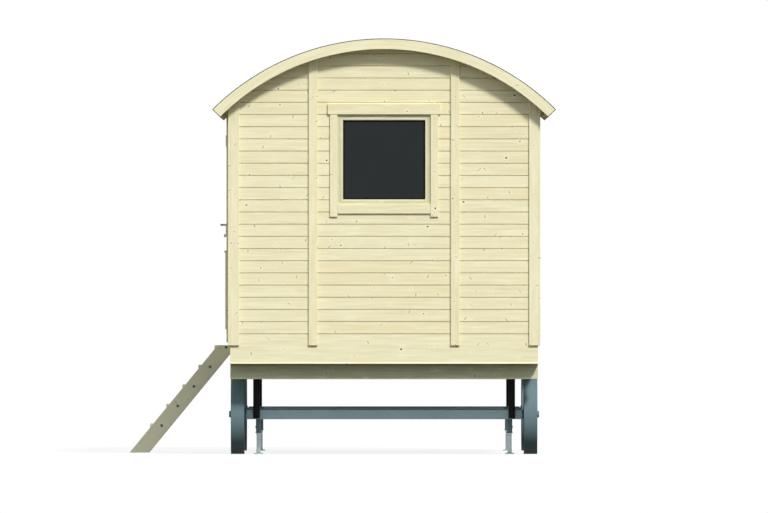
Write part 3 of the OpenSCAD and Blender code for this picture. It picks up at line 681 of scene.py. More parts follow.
# Corner jacks: a square leg of galvanised tube slides in a painted sleeve that is welded to the
# back of the axle, through a bush at its foot. A pin through both holds the height.
jacks, bushes = Stock(), Stock()
flange, sleeve_corner = 0.005, 0.005
pin_height, pin_radius, pin_out, pin_washer_radius, pin_washer_thick = 0.045, 0.008, 0.0045, 0.011, 0.0025
leg_half, leg_corner, foot_thick, foot_corner, weld = 0.016, 0.004, 0.008, 0.008, 0.005
for low, high in solids("jack_sleeves"):
    x0, x1 = low[0] + flange, high[0] - flange
    y0, y1 = low[1], high[1]
    if y1 > 0:
        y0 += flange
    else:
        y1 -= flange
    jacks.add(
        beside(0, 0, 0, 2), (low[2] + flange, high[2]), rounded((x0, x1), (y0, y1), sleeve_corner, 3),
        0.002,
    )
    jacks.block(low, (high[0], high[1], low[2] + flange), 0.001)
    side = 1 if x0 > hut_middle else -1
    out = beside(x1 if side > 0 else x0, (y0 + y1) / 2, low[2] + pin_height, 0, side)
    bushes.add(out, (0, pin_washer_thick), disc(pin_washer_radius, 24), 0.0005)
    bushes.add(out, (pin_washer_thick, pin_out), disc(pin_radius, 6), 0.0007)
for low, high in solids("jack_bushes"):
    bushes.block(low, high, 0.0015)
sleeve_paint = enamel(
    "sleeve enamel", display(112, 130, 139), display(128, 147, 156), 260, 0.4, 0.2
)
zinc = Finish("galvanised steel")
spot = zinc.spot()
spangle = zinc.node("ShaderNodeTexVoronoi", {}, {"Vector": spot, "Scale": 120}, "Color")
flake = zinc.split(spangle)[0]
stain = zinc.noise(spot, 14, 3)
zinc_share = (flake * 0.6 + stain * 0.5 - 0.05).held()
zinc.set(
    Base_Color=zinc.mix(zinc_share, display(170, 180, 186), display(208, 217, 221)),
    Metallic=0.5 + flake * 0.2, Roughness=0.34 + flake * 0.12 + stain * 0.1,
)
zinc.bump(flake * 0.4 + stain, 0.0003, 0.4)
jacks.piece("sleeve_tubes", "hut", "axle_steel", sleeve_paint, ("jack_sleeves",))
bushes.piece("sleeve_bushes", "hut", "zinc", zinc.material, ("jack_bushes",))


def square_about(half, corner, steps):
    """A square section about zero with rounded corners."""
    return rounded((-half, half), (-half, half), corner, steps)


for end in ("front", "rear"):
    for flank in ("left", "right"):
        node = f"{end}_{flank}_leg"
        low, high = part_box(node)
        middle, reach = (low + high) / 2, (high - low) / 2
        rising = beside(middle.x, middle.y, 0, 2)
        leg = Stock()
        leg.add(rising, (foot_thick - 0.001, high.z), square_about(leg_half, leg_corner, 3), 0.001)
        leg.add(
            rising, (0, foot_thick),
            rounded((-reach.x, reach.x), (-reach.y, reach.y), foot_corner, 4), 0.0012,
        )
        leg.add(
            rising, (foot_thick - 0.001, foot_thick + weld),
            square_about(leg_half + weld, 0.006, 3), 0.0045,
        )
        leg.piece(node + "_tube", f"leg_{end[0]}{flank[0]}", "zinc", zinc.material, (node,))

# Floor: joists across the hut with tongued boards along it, nailed down. The boards show from
# below between the joists, and through the open door.
board_width, board_gap = 0.120, 0.0012
joint_places = [-0.8, 0.1, 0.9]
floor_frame, floor_boards = Stock(), Stock()
for low, high in solids("floor_joists"):
    floor_frame.block(low, high, 0.002)
# The joists take the darker spruce, painted shade for their place under the floor.
floor_frame.piece("floor_frame", "hut", "shaded_wood", shade_darkened_spruce, ("floor_joists",))
low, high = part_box("floor_boards")
floor_top = high.z
for x in np.arange(low.x, high.x - 0.01, board_width):
    joint = draws.choice(joint_places)
    for y0, y1 in ((low.y, joint), (joint, high.y)):
        floor_boards.block(
            (x, y0, low.z), (min(x + board_width, high.x) - board_gap, y1 - board_gap, high.z), 0.0012
        )
floor_boards.piece("floor_planks", "hut", "wood", planed, ("floor_boards",))

# Walls: a timber frame closed by tongued boards outside and thinner boards inside. The boards
# outside lie level, 95 mm apart, above one wide board at the foot, and butt under the battens.
wall_thickness = front_high.y - front_low.y
half_length, half_width = -front_low.y, (front_high.x - front_low.x) / 2
wall_foot = front_low.z
siding_start, siding_pitch, siding_thick, siding_gap = 0.9388, 0.095, 0.019, 0.0016
siding_bevel, head_bevel, butt_gap, butt_edge, arch_steps = 0.005, 0.0014, 0.0004, 0.0006, 12
skirt_flare, skirt_lip, skirt_bend = 0.012, 0.005, 0.004
lining_pitch, lining_thick, sole_high, lining_start = 0.121, 0.012, 0.045, 0.142
batten_pitch = 1.108
deck_low, deck_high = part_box("roof_deck")
felt_low, felt_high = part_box("roof_felt")
roof_radius, deck_thick, felt_thick, edge_depth = 1.900, 0.028, 0.006, 0.085
deck_radius = roof_radius - felt_thick - deck_thick
arch_z = felt_high.z - roof_radius
arch_top = arch_z + deck_radius
batten_boxes = solids("battens")
window_boxes = solids("window_sashes")
window_lift = 0.0026
door_low, door_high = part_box("door_lining")
doorway = (door_low.y, door_high.y)


def under_deck(points):
    """The height of the underside of the roof boards over each point, on the arch's circle."""
    return arch_z + np.sqrt(np.maximum(deck_radius ** 2 - (points[..., 0] - hut_middle) ** 2, 0))


def facing(turn):
    """Turns (along, up, into the wall) to x, y, z for a wall that the front wall meets when it
    is turned round the hut's middle by a number of degrees."""
    c, s = round(cos(radians(turn))), round(sin(radians(turn)))
    face = half_width if s else half_length

    def place(local):
        out = face - local[..., 2]
        return np.stack([
            hut_middle + c * local[..., 0] + s * out, s * local[..., 0] - c * out, local[..., 1]
        ], -1)

    return place


def upright(place):
    """A wall's placement for boards that stand: along runs up, and across runs along the wall."""
    return lambda local: place(local[..., [1, 0, 2]])


def in_wall(turn, boxes, depth, slack):
    """The boxes that lie at a depth in a wall, give or take a slack, as limits along it and of
    height."""
    axis = 0 if turn % 180 == 0 else 1
    origin, ahead = facing(turn)(np.array([[0.0, 0.0, depth], [1.0, 0.0, depth]]))
    found = []
    for low, high in boxes:
        middle, half = (low + high) / 2, (high[axis] - low[axis]) / 2
        if abs(middle[1 - axis] - origin[1 - axis]) < slack:
            along = (middle[axis] - origin[axis]) * (ahead[axis] - origin[axis])
            found.append((along - half, along + half, low[2], high[2]))
    return found


def window_holes(turn):
    """The holes of a wall's windows, as limits along it and of height."""
    holes = in_wall(turn, window_boxes, wall_thickness / 2, 0.05)
    return sorted((u0, u1, z0 + window_lift, z1 + window_lift) for u0, u1, z0, z1 in holes)


def siding_section(z0, z1):
    """A tongued board from outside: a wide bevel at its foot, a narrow one at its head."""
    return [
        (z0 + siding_gap, siding_bevel), (z0 + siding_gap, siding_thick), (z1, siding_thick),
        (z1, head_bevel), (z1 - head_bevel, 0), (z0 + siding_gap + siding_bevel, 0),
    ]


def skirt_section(z0, z1):
    """The wide board at the foot of the wall, whose lower edge flares out to shed the rain."""
    return [
        (z0, 0.001 - skirt_lip), (z0, siding_thick), (z1, siding_thick), (z1, head_bevel),
        (z1 - head_bevel, 0), (z0 + skirt_flare + skirt_bend, 0), (z0 + skirt_flare, 0),
        (z0 + 0.003, -skirt_lip), (z0 + 0.001, -skirt_lip),
    ]


def lining_section(z0, z1):
    """A thin board on the inside of the wall."""
    return squared((z0 + siding_gap, z1), (wall_thickness - lining_thick, wall_thickness), 0.001)


def clad(boards, place, panels, rows, section, hole=None, to_arch=False):
    """Fills the panels of a wall with rows of boards, split round a hole and cut to the arch."""
    for u0, u1 in panels:
        for z0, z1 in rows:
            spans = [(u0, u1, z0, z1)]
            if hole and u0 < hole[0] and hole[1] < u1 and z1 > hole[2] and z0 < hole[3]:
                spans = [(u0, hole[0], z0, z1), (hole[1], u1, z0, z1)]
                if z0 < hole[2] - 0.01:
                    spans.append((hole[0], hole[1], z0, hole[2]))
                if z1 > hole[3] + 0.01:
                    spans.append((hole[0], hole[1], hole[3], z1))
            for a, b, low_z, high_z in spans:
                if to_arch:
                    reach = sqrt(max(deck_radius ** 2 - (low_z + 0.006 - arch_z) ** 2, 0))
                    a, b = max(a, -reach), min(b, reach)
                    if b - a < 0.02 or low_z > arch_top - 0.006:
                        continue
                cut = to_arch and high_z > arch_z + sqrt(deck_radius ** 2 - max(a * a, b * b))
                boards.add(
                    place, (a, b - butt_gap), section(low_z, high_z), butt_edge,
                    arch_steps if cut else 1, under_deck,
                )


def rows_between(z0, z1, pitch):
    """The limits of each row of boards between two heights, the last cut to fit."""
    edges = np.arange(z0, z1 + pitch, pitch)
    return [(low, min(high, z1)) for low, high in zip(edges[:-1], edges[1:]) if low < z1 - 0.004]


def sole(boards, place, start, end):
    """The member at the foot of the frame, between the two skins of boards."""
    boards.add(place, (start, end), squared(
        (wall_foot, wall_foot + sole_high), (siding_thick, wall_thickness - lining_thick), 0.001))


skirt_row = [(wall_foot, siding_start)]
batten_places = [-1.5 * batten_pitch, -0.5 * batten_pitch, 0.5 * batten_pitch, 1.5 * batten_pitch]
end_edges = [-half_width, *batten_places[1:3], half_width]
for name, turn in (("front_wall", 0), ("rear_wall", 180)):
    boards = Stock()
    place = facing(turn)
    hole = window_holes(turn)[0]
    rows = rows_between(siding_start, arch_top, siding_pitch)
    clad(boards, place, zip(end_edges[:-1], end_edges[1:]), rows, siding_section, hole, True)
    clad(boards, place, [(-half_width, half_width)], skirt_row, skirt_section)
    inside = half_width - wall_thickness
    rows = rows_between(wall_foot + lining_start, arch_top, lining_pitch)
    clad(boards, place, [(-inside, inside)], rows, lining_section, hole, True)
    sole(boards, place, -half_width + 0.02, half_width - 0.02)
    boards.piece(name + "_boards", "hut", "wood", planed, (name,))

wall_head = arch_z + sqrt(deck_radius ** 2 - (half_width - wall_thickness) ** 2)
side_edge = half_length - siding_thick
side_edges = [-side_edge, *batten_places, side_edge]


def long_wall(node, turn, start, end):
    """One length of a long wall between two places along it, with its windows' holes. The boards
    inside stop short of the end walls, and are split in the middle where there are two windows."""
    boards = Stock()
    place = facing(turn)
    rows = rows_between(siding_start, wall_head, siding_pitch)
    for u0, u1 in zip(side_edges[:-1], side_edges[1:]):
        panel = max(u0, start), min(u1, end)
        if panel[1] - panel[0] > 0.01:
            inside = [hole for hole in window_holes(turn) if panel[0] < hole[0] < panel[1]]
            clad(boards, place, [panel], rows, siding_section, inside[0] if inside else None)
    clad(boards, place, [(start, end)], skirt_row, skirt_section)
    reach = half_length - wall_thickness
    a, b = max(start, -reach), min(end, reach)
    holes = [hole for hole in window_holes(turn) if a < hole[0] < b]
    rows = rows_between(wall_foot + lining_start, wall_head, lining_pitch)
    for span, hole in zip([(a, 0), (0, b)] if len(holes) > 1 else [(a, b)], holes):
        clad(boards, place, [span], rows, lining_section, hole)
    sole(boards, place, start, end)
    boards.piece(node + "_boards", "hut", "wood", planed, (node,))


long_wall("right_wall", 90, -side_edge, side_edge)
long_wall("left_wall_front", 270, doorway[1], side_edge)
long_wall("left_wall_rear", 270, -side_edge, doorway[0])
over_door, under_door = Stock(), Stock()
left = facing(270)
head_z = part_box("left_wall_over_door")[0].z
sill_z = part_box("left_wall_under_door")[1].z
rows = [row for row in rows_between(siding_start, wall_head, siding_pitch) if row[1] > head_z + 0.01]
rows[0] = (head_z, rows[0][1])
clad(over_door, left, [doorway], rows, siding_section)
clad(over_door, left, [doorway], [(head_z - siding_gap, wall_head)], lining_section)
over_door.piece("over_door_boards", "hut", "wood", planed, ("left_wall_over_door",))
clad(under_door, left, [doorway], [(wall_foot, sill_z)], skirt_section)
under_door.add(left, doorway, squared((wall_foot, sill_z), (siding_thick, wall_thickness), 0.001))
under_door.piece("under_door_boards", "hut", "wood", planed, ("left_wall_under_door",))

# Corner boards and battens: planed strips nailed over the ends and joints of the siding. They
# stop above the wide board at the foot and run up under the roof boards.
trim_edge, trim_lift = 0.0025, 0.006
battens, corners = Stock(), Stock()
for low, high in batten_boxes:
    battens.block(
        (low[0], low[1], low[2] + trim_lift), (high[0], high[1], high[2] + 0.2), trim_edge, under_deck
    )
battens.piece("batten_strips", "hut", "wood", planed, ("battens",))
corner_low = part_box("corner_boards")[0]
corner_width, corner_thick = 0.070, front_low.y - corner_low.y
for turn, wall_half, past in (
    (0, half_width, 0), (180, half_width, 0), (90, half_length, corner_thick),
    (270, half_length, corner_thick),
):
    for side in (-1, 1):
        limits = sorted((side * (wall_half - corner_width), side * (wall_half + past)))
        corners.add(
            upright(facing(turn)), (corner_low.z + trim_lift, arch_top),
            squared(limits, (-corner_thick, 0), trim_edge), trim_edge, 1, under_deck,
        )
corners.piece("corner_strips", "hut", "wood", planed, ("corner_boards",))

# Windows: a narrow frame in each hole holds a casement of mitred members, and paler beads hold
# the pane in it against a black gasket. Four casing boards are nailed over the joint with the
# siding, the one at the head a little prouder and wider than the rest.
casing_width, casing_ear, casing_leg = 0.060, 0.017, 0.025
casing_head, casing_foot, casing_cover = 0.084, 0.075, 0.008
head_proud, side_proud = 0.018, 0.015
sash_stile, sash_rail = 0.042, 0.044
frame_share, frame_joint = 0.42, 0.0006
frame_face, casement_face, sash_back = 0.002, 0.003, 0.054
bead_width, bead_slope, bead_lip, gasket_width = 0.011, 0.006, 0.0012, 0.013
pane_half, pane_middle = 0.004, 0.033
casings, sashes, gaskets, beads, panes = Stock(), Stock(), Stock(), Stock(), Stock()


def framed(boards, place, limits, section_of, widths, edge=0.0005):
    """Four members round an opening, mitred at the corners: each end runs back with the distance
    across the member. section_of gives the section for a member of the given width."""
    u0, u1, z0, z1 = limits
    stile, rail = widths
    for flip in (0, 1):
        boards.add(
            lambda local: place(np.stack([
                local[..., 0], z1 - local[..., 1] if flip else z0 + local[..., 1], local[..., 2]
            ], -1)),
            (lambda a: u0 + a * stile / rail, lambda a: u1 - a * stile / rail), section_of(rail), edge,
        )
        boards.add(
            lambda local: place(np.stack([
                u1 - local[..., 1] if flip else u0 + local[..., 1], local[..., 0], local[..., 2]
            ], -1)),
            (lambda a: z0 + a * rail / stile, lambda a: z1 - a * rail / stile), section_of(stile), edge,
        )


def inset(limits, stile, rail):
    """The limits of an opening, drawn in by a stile at each side and a rail above and below."""
    return limits[0] + stile, limits[1] - stile, limits[2] + rail, limits[3] - rail


def bead_section(width):
    """A bead that slopes back from the face of the casement to the pane."""
    pane_face = pane_middle - pane_half
    return [
        (0, casement_face), (0.001, casement_face - bead_lip), (0.004, casement_face - bead_lip),
        (width, casement_face + bead_slope), (width, pane_face), (0, pane_face),
    ]


for turn in (0, 90, 180, 270):
    place = facing(turn)
    for hole in window_holes(turn):
        u0, u1, z0, z1 = hole
        foot = z0 + casing_cover - casing_foot
        for a, b in ((u0 - casing_width, u0), (u1, u1 + casing_width)):
            casings.add(
                upright(place), (foot - casing_leg, z1 - 0.001), squared((a, b), (-side_proud, 0), 0.002)
            )
        casings.add(
            place, (u0 + 0.0006, u1 - 0.0006), squared((foot, foot + casing_foot), (-side_proud, 0), 0.002)
        )
        casings.add(
            place, (u0 - casing_width - casing_ear, u1 + casing_width + casing_ear),
            squared((z1, z1 + casing_head), (-head_proud, 0), 0.0014),
        )
        outer = frame_share * sash_stile, frame_share * sash_rail
        inner = sash_stile - outer[0] - frame_joint, sash_rail - outer[1] - frame_joint
        framed(
            sashes, place, hole, lambda width: squared((0, width), (frame_face, sash_back), 0.0008), outer
        )
        framed(
            sashes, place, inset(hole, outer[0] + frame_joint, outer[1] + frame_joint),
            lambda width: squared((0, width), (casement_face, sash_back), 0.0010), inner,
        )
        glass = inset(hole, sash_stile, sash_rail)
        framed(
            beads, place, inset(glass, 0.0006 - bead_width, 0.0006 - bead_width), bead_section,
            (bead_width, bead_width),
        )
        framed(
            gaskets, place, inset(glass, -0.0004, -0.0004),
            lambda width: squared(
                (0, width), (pane_middle - pane_half - 0.004, pane_middle + pane_half + 0.003), 0.0012
            ), (gasket_width, gasket_width),
        )
        panes.add(
            place, (glass[0], glass[1]),
            squared((glass[2], glass[3]), (pane_middle - pane_half, pane_middle + pane_half), 0.0005), 0.0005,
        )
sash_spruce = spruce(
    "sash spruce", display(218, 213, 178), display(197, 189, 149), display(214, 204, 167), 0.3
)
bead_spruce = spruce(
    "bead spruce", display(243, 241, 220), display(226, 222, 192), display(240, 234, 206), 0.1
)
rubber = Finish("gasket rubber")
pale_patches = rubber.noise(rubber.spot(), 400, 2)
rubber.set(
    Base_Color=rubber.mix(pale_patches, display(7, 11, 10), display(18, 23, 22)),
    Roughness=0.75 + pale_patches * 0.2, Specular_IOR_Level=0.1,
)
# The panes are tinted near black and almost opaque: painted shade that stands for the dark room behind them.
dark_glass = Finish("glass darkened as painted shade")
haze = dark_glass.noise(dark_glass.spot(), 2.2, 2)
dark_glass.set(
    Base_Color=dark_glass.mix(haze, display(5, 14, 20), display(12, 24, 25)),
    Roughness=0.03 + haze * 0.04, IOR=1.40, Alpha=0.94,
)
casings.piece("window_casing_boards", "hut", "wood", planed, ("window_casings",))
sashes.piece("sash_frames", "hut", "sash_wood", sash_spruce, ("window_sashes",))
beads.piece("glazing_beads", "hut", "sash_wood", bead_spruce)
gaskets.piece("pane_gaskets", "hut", "dark_glass", rubber.material)
panes.piece("window_glass", "hut", "dark_glass", dark_glass.material, ("window_panes",))

# Roof: ribs of bent spruce carry tongued boards that run the hut's whole length. Barge boards
# close the two ends and a board deepens each eaves. Felt lies over it all in five sheets that lap,
# turned down at the edges and folded double at both ends, with a row of nails along each lap.
half_angle = radians(44.702)
half_arc = half_angle * roof_radius
rib_depth = 0.070
plank_cover, plank_bevel = 0.098, 0.004
eaves_thick, eaves_inset = 0.040, 0.0003
felt_base, felt_top = roof_radius - felt_thick, roof_radius - 0.0004
sheet_count, sheet_thick, lap, lap_rise, lap_slope = 5, 0.0034, 0.09, 0.0023, 0.006
felt_hem, turn_down_thick = 0.035, 0.005
clout_radius, clout_thick, clout_pitch, clout_inset = 0.0048, 0.0011, 0.1, 0.018


def arched(local):
    """Bends (along, radius, y) round the arch: along is measured on the felt's radius."""
    angle = local[..., 0] / roof_radius
    return np.stack([
        hut_middle + local[..., 1] * np.sin(angle), local[..., 2],
        arch_z + local[..., 1] * np.cos(angle),
    ], -1)


def leaning(angle, way=1):
    """Turns (y, across, outwards) to x, y, z for a board that lies against the arch at an angle."""
    c, s = cos(angle), sin(angle)

    def place(local):
        across, height = way * local[..., 1], local[..., 2]
        return np.stack([
            hut_middle + c * across + s * height, local[..., 0], arch_z - s * across + c * height
        ], -1)

    return place


ribs, deck, eaves = Stock(), Stock(), Stock()
rib_reach = np.arcsin((half_width - wall_thickness) / (deck_radius - rib_depth / 2)) * roof_radius
for low, high in solids("roof_ribs"):
    ribs.add(
        arched, (-rib_reach, rib_reach),
        squared((deck_radius - rib_depth, deck_radius), (low[1], high[1]), 0.003), 0.003, 40,
    )
ribs.piece("arched_ribs", "hut", "wood", planed, ("roof_ribs",))
plank_count = ceil(2 * half_angle * deck_radius / plank_cover)
plank_angle = 2 * half_angle / plank_count
half_in = deck_radius * sin(plank_angle / 2) - 0.0006
half_out = (deck_radius + deck_thick) * sin(plank_angle / 2) - 0.0004
bottom, top = deck_radius * cos(plank_angle / 2), (deck_radius + deck_thick) * cos(plank_angle / 2)
for i in range(plank_count):
    deck.add(leaning(-half_angle + (i + 0.5) * plank_angle), (deck_low.y, deck_high.y), [
        (-half_in + plank_bevel, bottom), (half_in - plank_bevel, bottom),
        (half_in, bottom + plank_bevel), (half_out, top), (-half_out, top),
        (-half_in, bottom + plank_bevel),
    ], 0.001)
deck.piece("roof_planks", "hut", "wood", planed, ("roof_deck",))
edge_radius = roof_radius - edge_depth
eaves_far = eaves_thick + eaves_inset
for side in (-1, 1):
    eaves.add(leaning(side * half_angle, side), (deck_low.y, deck_high.y), squared(
        (-eaves_far, -eaves_inset), (edge_radius, sqrt(deck_radius ** 2 - eaves_far ** 2)), 0.002))
eaves.piece("eaves_strips", "hut", "wood", planed, ("eaves_boards",))
for end in ("front", "rear"):
    node = end + "_barge_board"
    low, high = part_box(node)
    barge = Stock()
    barge.add(
        arched, (-half_arc, half_arc), squared((edge_radius, felt_base), (low.y, high.y), 0.003),
        0.0015, 72,
    )
    barge.piece(end + "_barge_strip", "hut", "wood", planed, (node,))
felt = Stock()
sheet_pitch = (felt_high.y - felt_low.y) / sheet_count
under, over = felt_base, felt_base + sheet_thick
for i in range(sheet_count):
    y0 = felt_low.y + i * sheet_pitch
    y1 = y0 + sheet_pitch + (lap if i < sheet_count - 1 else 0)
    step = y0 + lap
    felt.add(arched, (-half_arc, half_arc), [
        (under, y1), (over, y1), (over, step + lap_slope), (over + lap_rise, step),
        (over + lap_rise, y0), (under + lap_rise, y0), (under + lap_rise, step),
        (under, step + lap_slope),
    ] if i else squared((under, over), (y0, y1), 0.0008), 0.0004, 72)
for y0, y1 in ((felt_low.y, felt_low.y + felt_hem), (felt_high.y - felt_hem, felt_high.y)):
    felt.add(
        arched, (-half_arc, half_arc), squared((over, felt_top), (y0, y1), 0.0006), 0.0004, 72
    )
for side in (-1, 1):
    felt.add(
        lambda local: arched(local[..., [2, 1, 0]] * [side, 1, 1] + [side * half_arc, 0, 0]),
        (felt_low.y, felt_high.y),
        [(edge_radius + 0.0005, 0.0003), (roof_radius - 0.0006, 0.0003),
         (roof_radius - 0.0006, turn_down_thick), (edge_radius + 0.0005, turn_down_thick)], 0.0004,
    )
tar = Finish("roofing felt")
spot = tar.spot()
grit, blot, worn = tar.noise(spot, 900, 2), tar.noise(spot, 60, 3), tar.noise(spot, 3, 4)
sheet_tone = tar.split(tar.attribute("board"))[0]
share = (grit * 1.3 + blot * 0.5 + worn * 0.6 + sheet_tone * 0.25 - 0.85).held()
tar.set(
    Base_Color=tar.mix(share, display(38, 42, 38), display(104, 108, 98)),
    Roughness=0.8 + grit * 0.2, Specular_IOR_Level=0.25,
)
tar.bump(grit * 0.7 + blot * 0.6, 0.0018, 0.8)
felt.piece("felt_sheets", "hut", "felt", tar.material, ("roof_felt",))
clouts = Stock()
for i in range(sheet_count):
    nail = [felt_low.y + i * sheet_pitch + clout_inset, 0, felt_top - clout_thick / 2]
    for along in np.arange(-half_arc + 0.05, half_arc, clout_pitch):
        slope = leaning(along / roof_radius)
        clouts.add(
            lambda local: slope(local[..., [2, 1, 0]] + nail), (0, clout_thick),
            disc(clout_radius, 10), 0.0004,
        )
clouts.piece("felt_clouts", "hut", "zinc", zinc.material)

# Door: it hangs outside the siding on three hinges, in a casing, over a lining that closes the
# cut edges of the wall. The lower half of the leaf has a raised panel under a drip moulding, and
# the upper half a pane.
lining, casing, threshold = Stock(), Stock(), Stock()
standing = upright(left)
door_half = (door_high.y - door_low.y) / 2
door_lining_thick, door_casing_width, door_gap = 0.020, 0.060, 0.005
threshold_thick, threshold_out = 0.019, 0.018
casing_low, casing_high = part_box("door_casing")
door_proud = front_low.x - casing_low.x
jamb_in = door_half - door_lining_thick
for a, b in ((-door_half, -jamb_in), (jamb_in, door_half)):
    lining.add(
        standing, (door_low.z, door_high.z), squared((a, b), (0, wall_thickness), 0.0015)
    )
lining.add(left, (-jamb_in, jamb_in), squared(
    (door_high.z - door_lining_thick, door_high.z), (0, wall_thickness), 0.0015))
lining.piece("doorway_lining", "hut", "wood", planed, ("door_lining",))


def edged(a0, a1, inner, d0, d1):
    """A section with a wide bevel on the outer edge that faces the joint of the door."""
    soft, bevel = 0.002, 0.006
    left_cut, right_cut = (bevel, soft) if inner < 0 else (soft, bevel)
    return [
        (a0 + left_cut, d0), (a1 - right_cut, d0), (a1, d0 + right_cut), (a1, d1), (a0, d1),
        (a0, d0 + left_cut),
    ]


opening = door_half + door_gap
casing_out = opening + door_casing_width
head_foot = casing_high.z - door_casing_width
for side in (-1, 1):
    a0, a1 = sorted((side * opening, side * casing_out))
    casing.add(
        standing, (casing_low.z, head_foot - 0.0006), edged(a0, a1, -side, -door_proud, 0), 0.001
    )
casing.add(
    left, (-casing_out, casing_out), squared((head_foot, casing_high.z), (-door_proud, 0), 0.002)
)
casing.piece("doorway_casing", "hut", "shaded_wood", planed, ("door_casing",))
tread = floor_top, floor_top + threshold_thick
threshold.add(left, (-door_half, door_half), squared(tread, (0, wall_thickness), 0.002))
threshold.add(left, (-casing_out, casing_out), squared(tread, (-threshold_out, 0), 0.003))
threshold.piece("doorway_threshold", "hut", "wood", planed, ("door_threshold",))

leaf_low, leaf_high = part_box("door_leaf")
panel_low, panel_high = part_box("door_panel")
door_glass_low, door_glass_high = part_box("door_glass")
leaf_thick = leaf_high.x - leaf_low.x
inner_face = leaf_high.x - front_low.x
outer_face = inner_face - leaf_thick
stile, bottom_rail, board_step, leaf_boards, field_boards = 0.110, 0.170, 0.010, 5, 6
stile_in = door_half - stile
leaf = Stock()
for side in (-1, 1):
    a0, a1 = sorted((side * stile_in, side * door_half))
    leaf.add(standing, (leaf_low.z, leaf_high.z), edged(a0, a1, side, outer_face, inner_face))
bottom_rail_top, middle_rail_foot = leaf_low.z + bottom_rail, panel_high.z - 0.004
for z0, z1 in (
    (leaf_low.z, bottom_rail_top), (middle_rail_foot, door_glass_low.z),
    (door_glass_high.z, leaf_high.z),
):
    leaf.add(
        left, (-stile_in + 0.0004, stile_in - 0.0004),
        squared((z0, z1), (outer_face, inner_face), 0.0015), 0.0004,
    )
for i in range(leaf_boards):
    width = 2 * stile_in / leaf_boards
    a = -stile_in + i * width
    leaf.add(standing, (bottom_rail_top, middle_rail_foot), squared(
        (a, a + width), (outer_face + board_step, inner_face - board_step), 0.003))
leaf.piece("door_leaf_frame", "door", "shaded_wood", planed, ("door_leaf",))

drip_high, drip_past, drip_out, panel_out, panel_rim, panel_drop = 0.022, 0.006, 0.008, 0.013, 0.048, 0.005
panel_half = (panel_high.y - panel_low.y) / 2 - drip_past
panel_face = outer_face - panel_out
drip_foot = panel_high.z - drip_high
panel = Stock()
framed(
    panel, left, (-panel_half, panel_half, panel_low.z, drip_foot),
    lambda width: [
        (0, outer_face), (0, panel_face + 0.005), (0.004, panel_face + 0.001), (0.006, panel_face),
        (width - 0.012, panel_face), (width, panel_face + 0.006), (width, outer_face),
    ], (panel_rim, panel_rim),
)
field = panel_half - panel_rim
for i in range(field_boards):
    width = 2 * field / field_boards
    a = -field + i * width
    panel.add(standing, (panel_low.z + panel_rim, drip_foot - panel_rim), squared(
        (a + 0.0003, a + width - 0.0003), (panel_face + panel_drop, outer_face), 0.0028), 0.0005)
nose = drip_high / 2
bend = np.linspace(-pi / 2, pi / 2, 13)
panel.add(left, (-panel_half - drip_past, panel_half + drip_past), [
    (drip_foot, outer_face),
    *[(panel_high.z - nose + nose * sin(t), panel_face - drip_out + nose - nose * cos(t)) for t in bend],
    (panel_high.z, outer_face),
], 0.001)
panel.piece("door_raised_panel", "door", "shaded_wood", planed, ("door_panel",))

pane, door_beads, seals = Stock(), Stock(), Stock()
glass_half = (door_glass_high.y - door_glass_low.y) / 2
pane_outer, pane_inner = door_glass_low.x - front_low.x, door_glass_high.x - front_low.x
door_bead, seal_width, glass_inset = 0.016, 0.004, 0.003
pane.add(left, (-glass_half, glass_half), squared(
    (door_glass_low.z, door_glass_high.z), (pane_outer + glass_inset, pane_inner - glass_inset), 0.0004),
    0.0004)
pane.piece("door_glass_pane", "door", "dark_glass", dark_glass.material, ("door_glass",))
limits = (-glass_half, glass_half, door_glass_low.z, door_glass_high.z)
framed(
    door_beads, left, limits,
    lambda width: [
        (0, outer_face + 0.001), (0, pane_outer + 0.002), (width, pane_outer + 0.002),
        (width, pane_outer), (width - 0.005, outer_face + 0.004), (0.004, outer_face - 0.0015),
    ], (door_bead, door_bead),
)
framed(
    door_beads, left, limits,
    lambda width: squared((0, width), (pane_inner - 0.002, inner_face - 0.001), 0.002),
    (door_bead, door_bead),
)
door_beads.piece("door_glazing_beads", "door", "sash_wood", bead_spruce)
framed(
    seals, left, inset(limits, door_bead, door_bead),
    lambda width: squared((0, width), (pane_outer + 0.001, pane_inner - 0.001), 0.0008),
    (seal_width, seal_width),
)
seals.piece("door_pane_gasket", "door", "dark_glass", rubber.material)

# Door furniture: three steel hinges, a long plate on each face of the leaf with a lock below the
# lever, all in brushed stainless steel and fixed with small countersunk screws.
brushed = Finish("brushed steel")
spot = brushed.spot()
px, py, pz = brushed.split(spot)
stroke = brushed.noise(brushed.vector(px * 60, py * 60, pz * 1400), 1, 2)
smear = brushed.noise(spot, 35, 3)
steel_share = (stroke * 0.6 + smear * 0.4).held()
brushed.set(
    Base_Color=brushed.mix(steel_share, display(140, 146, 148), display(186, 190, 190)),
    Metallic=0.85, Roughness=0.26 + stroke * 0.12 + smear * 0.1,
)
brushed.bump(stroke, 0.0002, 0.35)


def bare_steel(name, deep_tone, light_tone, metal, roughness, grain_size, detail, unevenness):
    """Plain steel with a slight smear over it."""
    finish = Finish(name)
    smear = finish.noise(finish.spot(), grain_size, detail)
    finish.set(
        Base_Color=finish.mix(smear, deep_tone, light_tone), Metallic=metal,
        Roughness=roughness + smear * unevenness,
    )
    return finish.material


dark_steel = bare_steel("dark steel", display(62, 66, 68), display(92, 96, 98), 0.8, 0.3, 60, 3, 0.15)


def screw(stock, at, radius=0.0036):
    """A countersunk head, just proud of what it holds, at the origin of a placement."""
    stock.add(at, (-0.0008, 0.0006), disc(radius, 16), 0.0005)


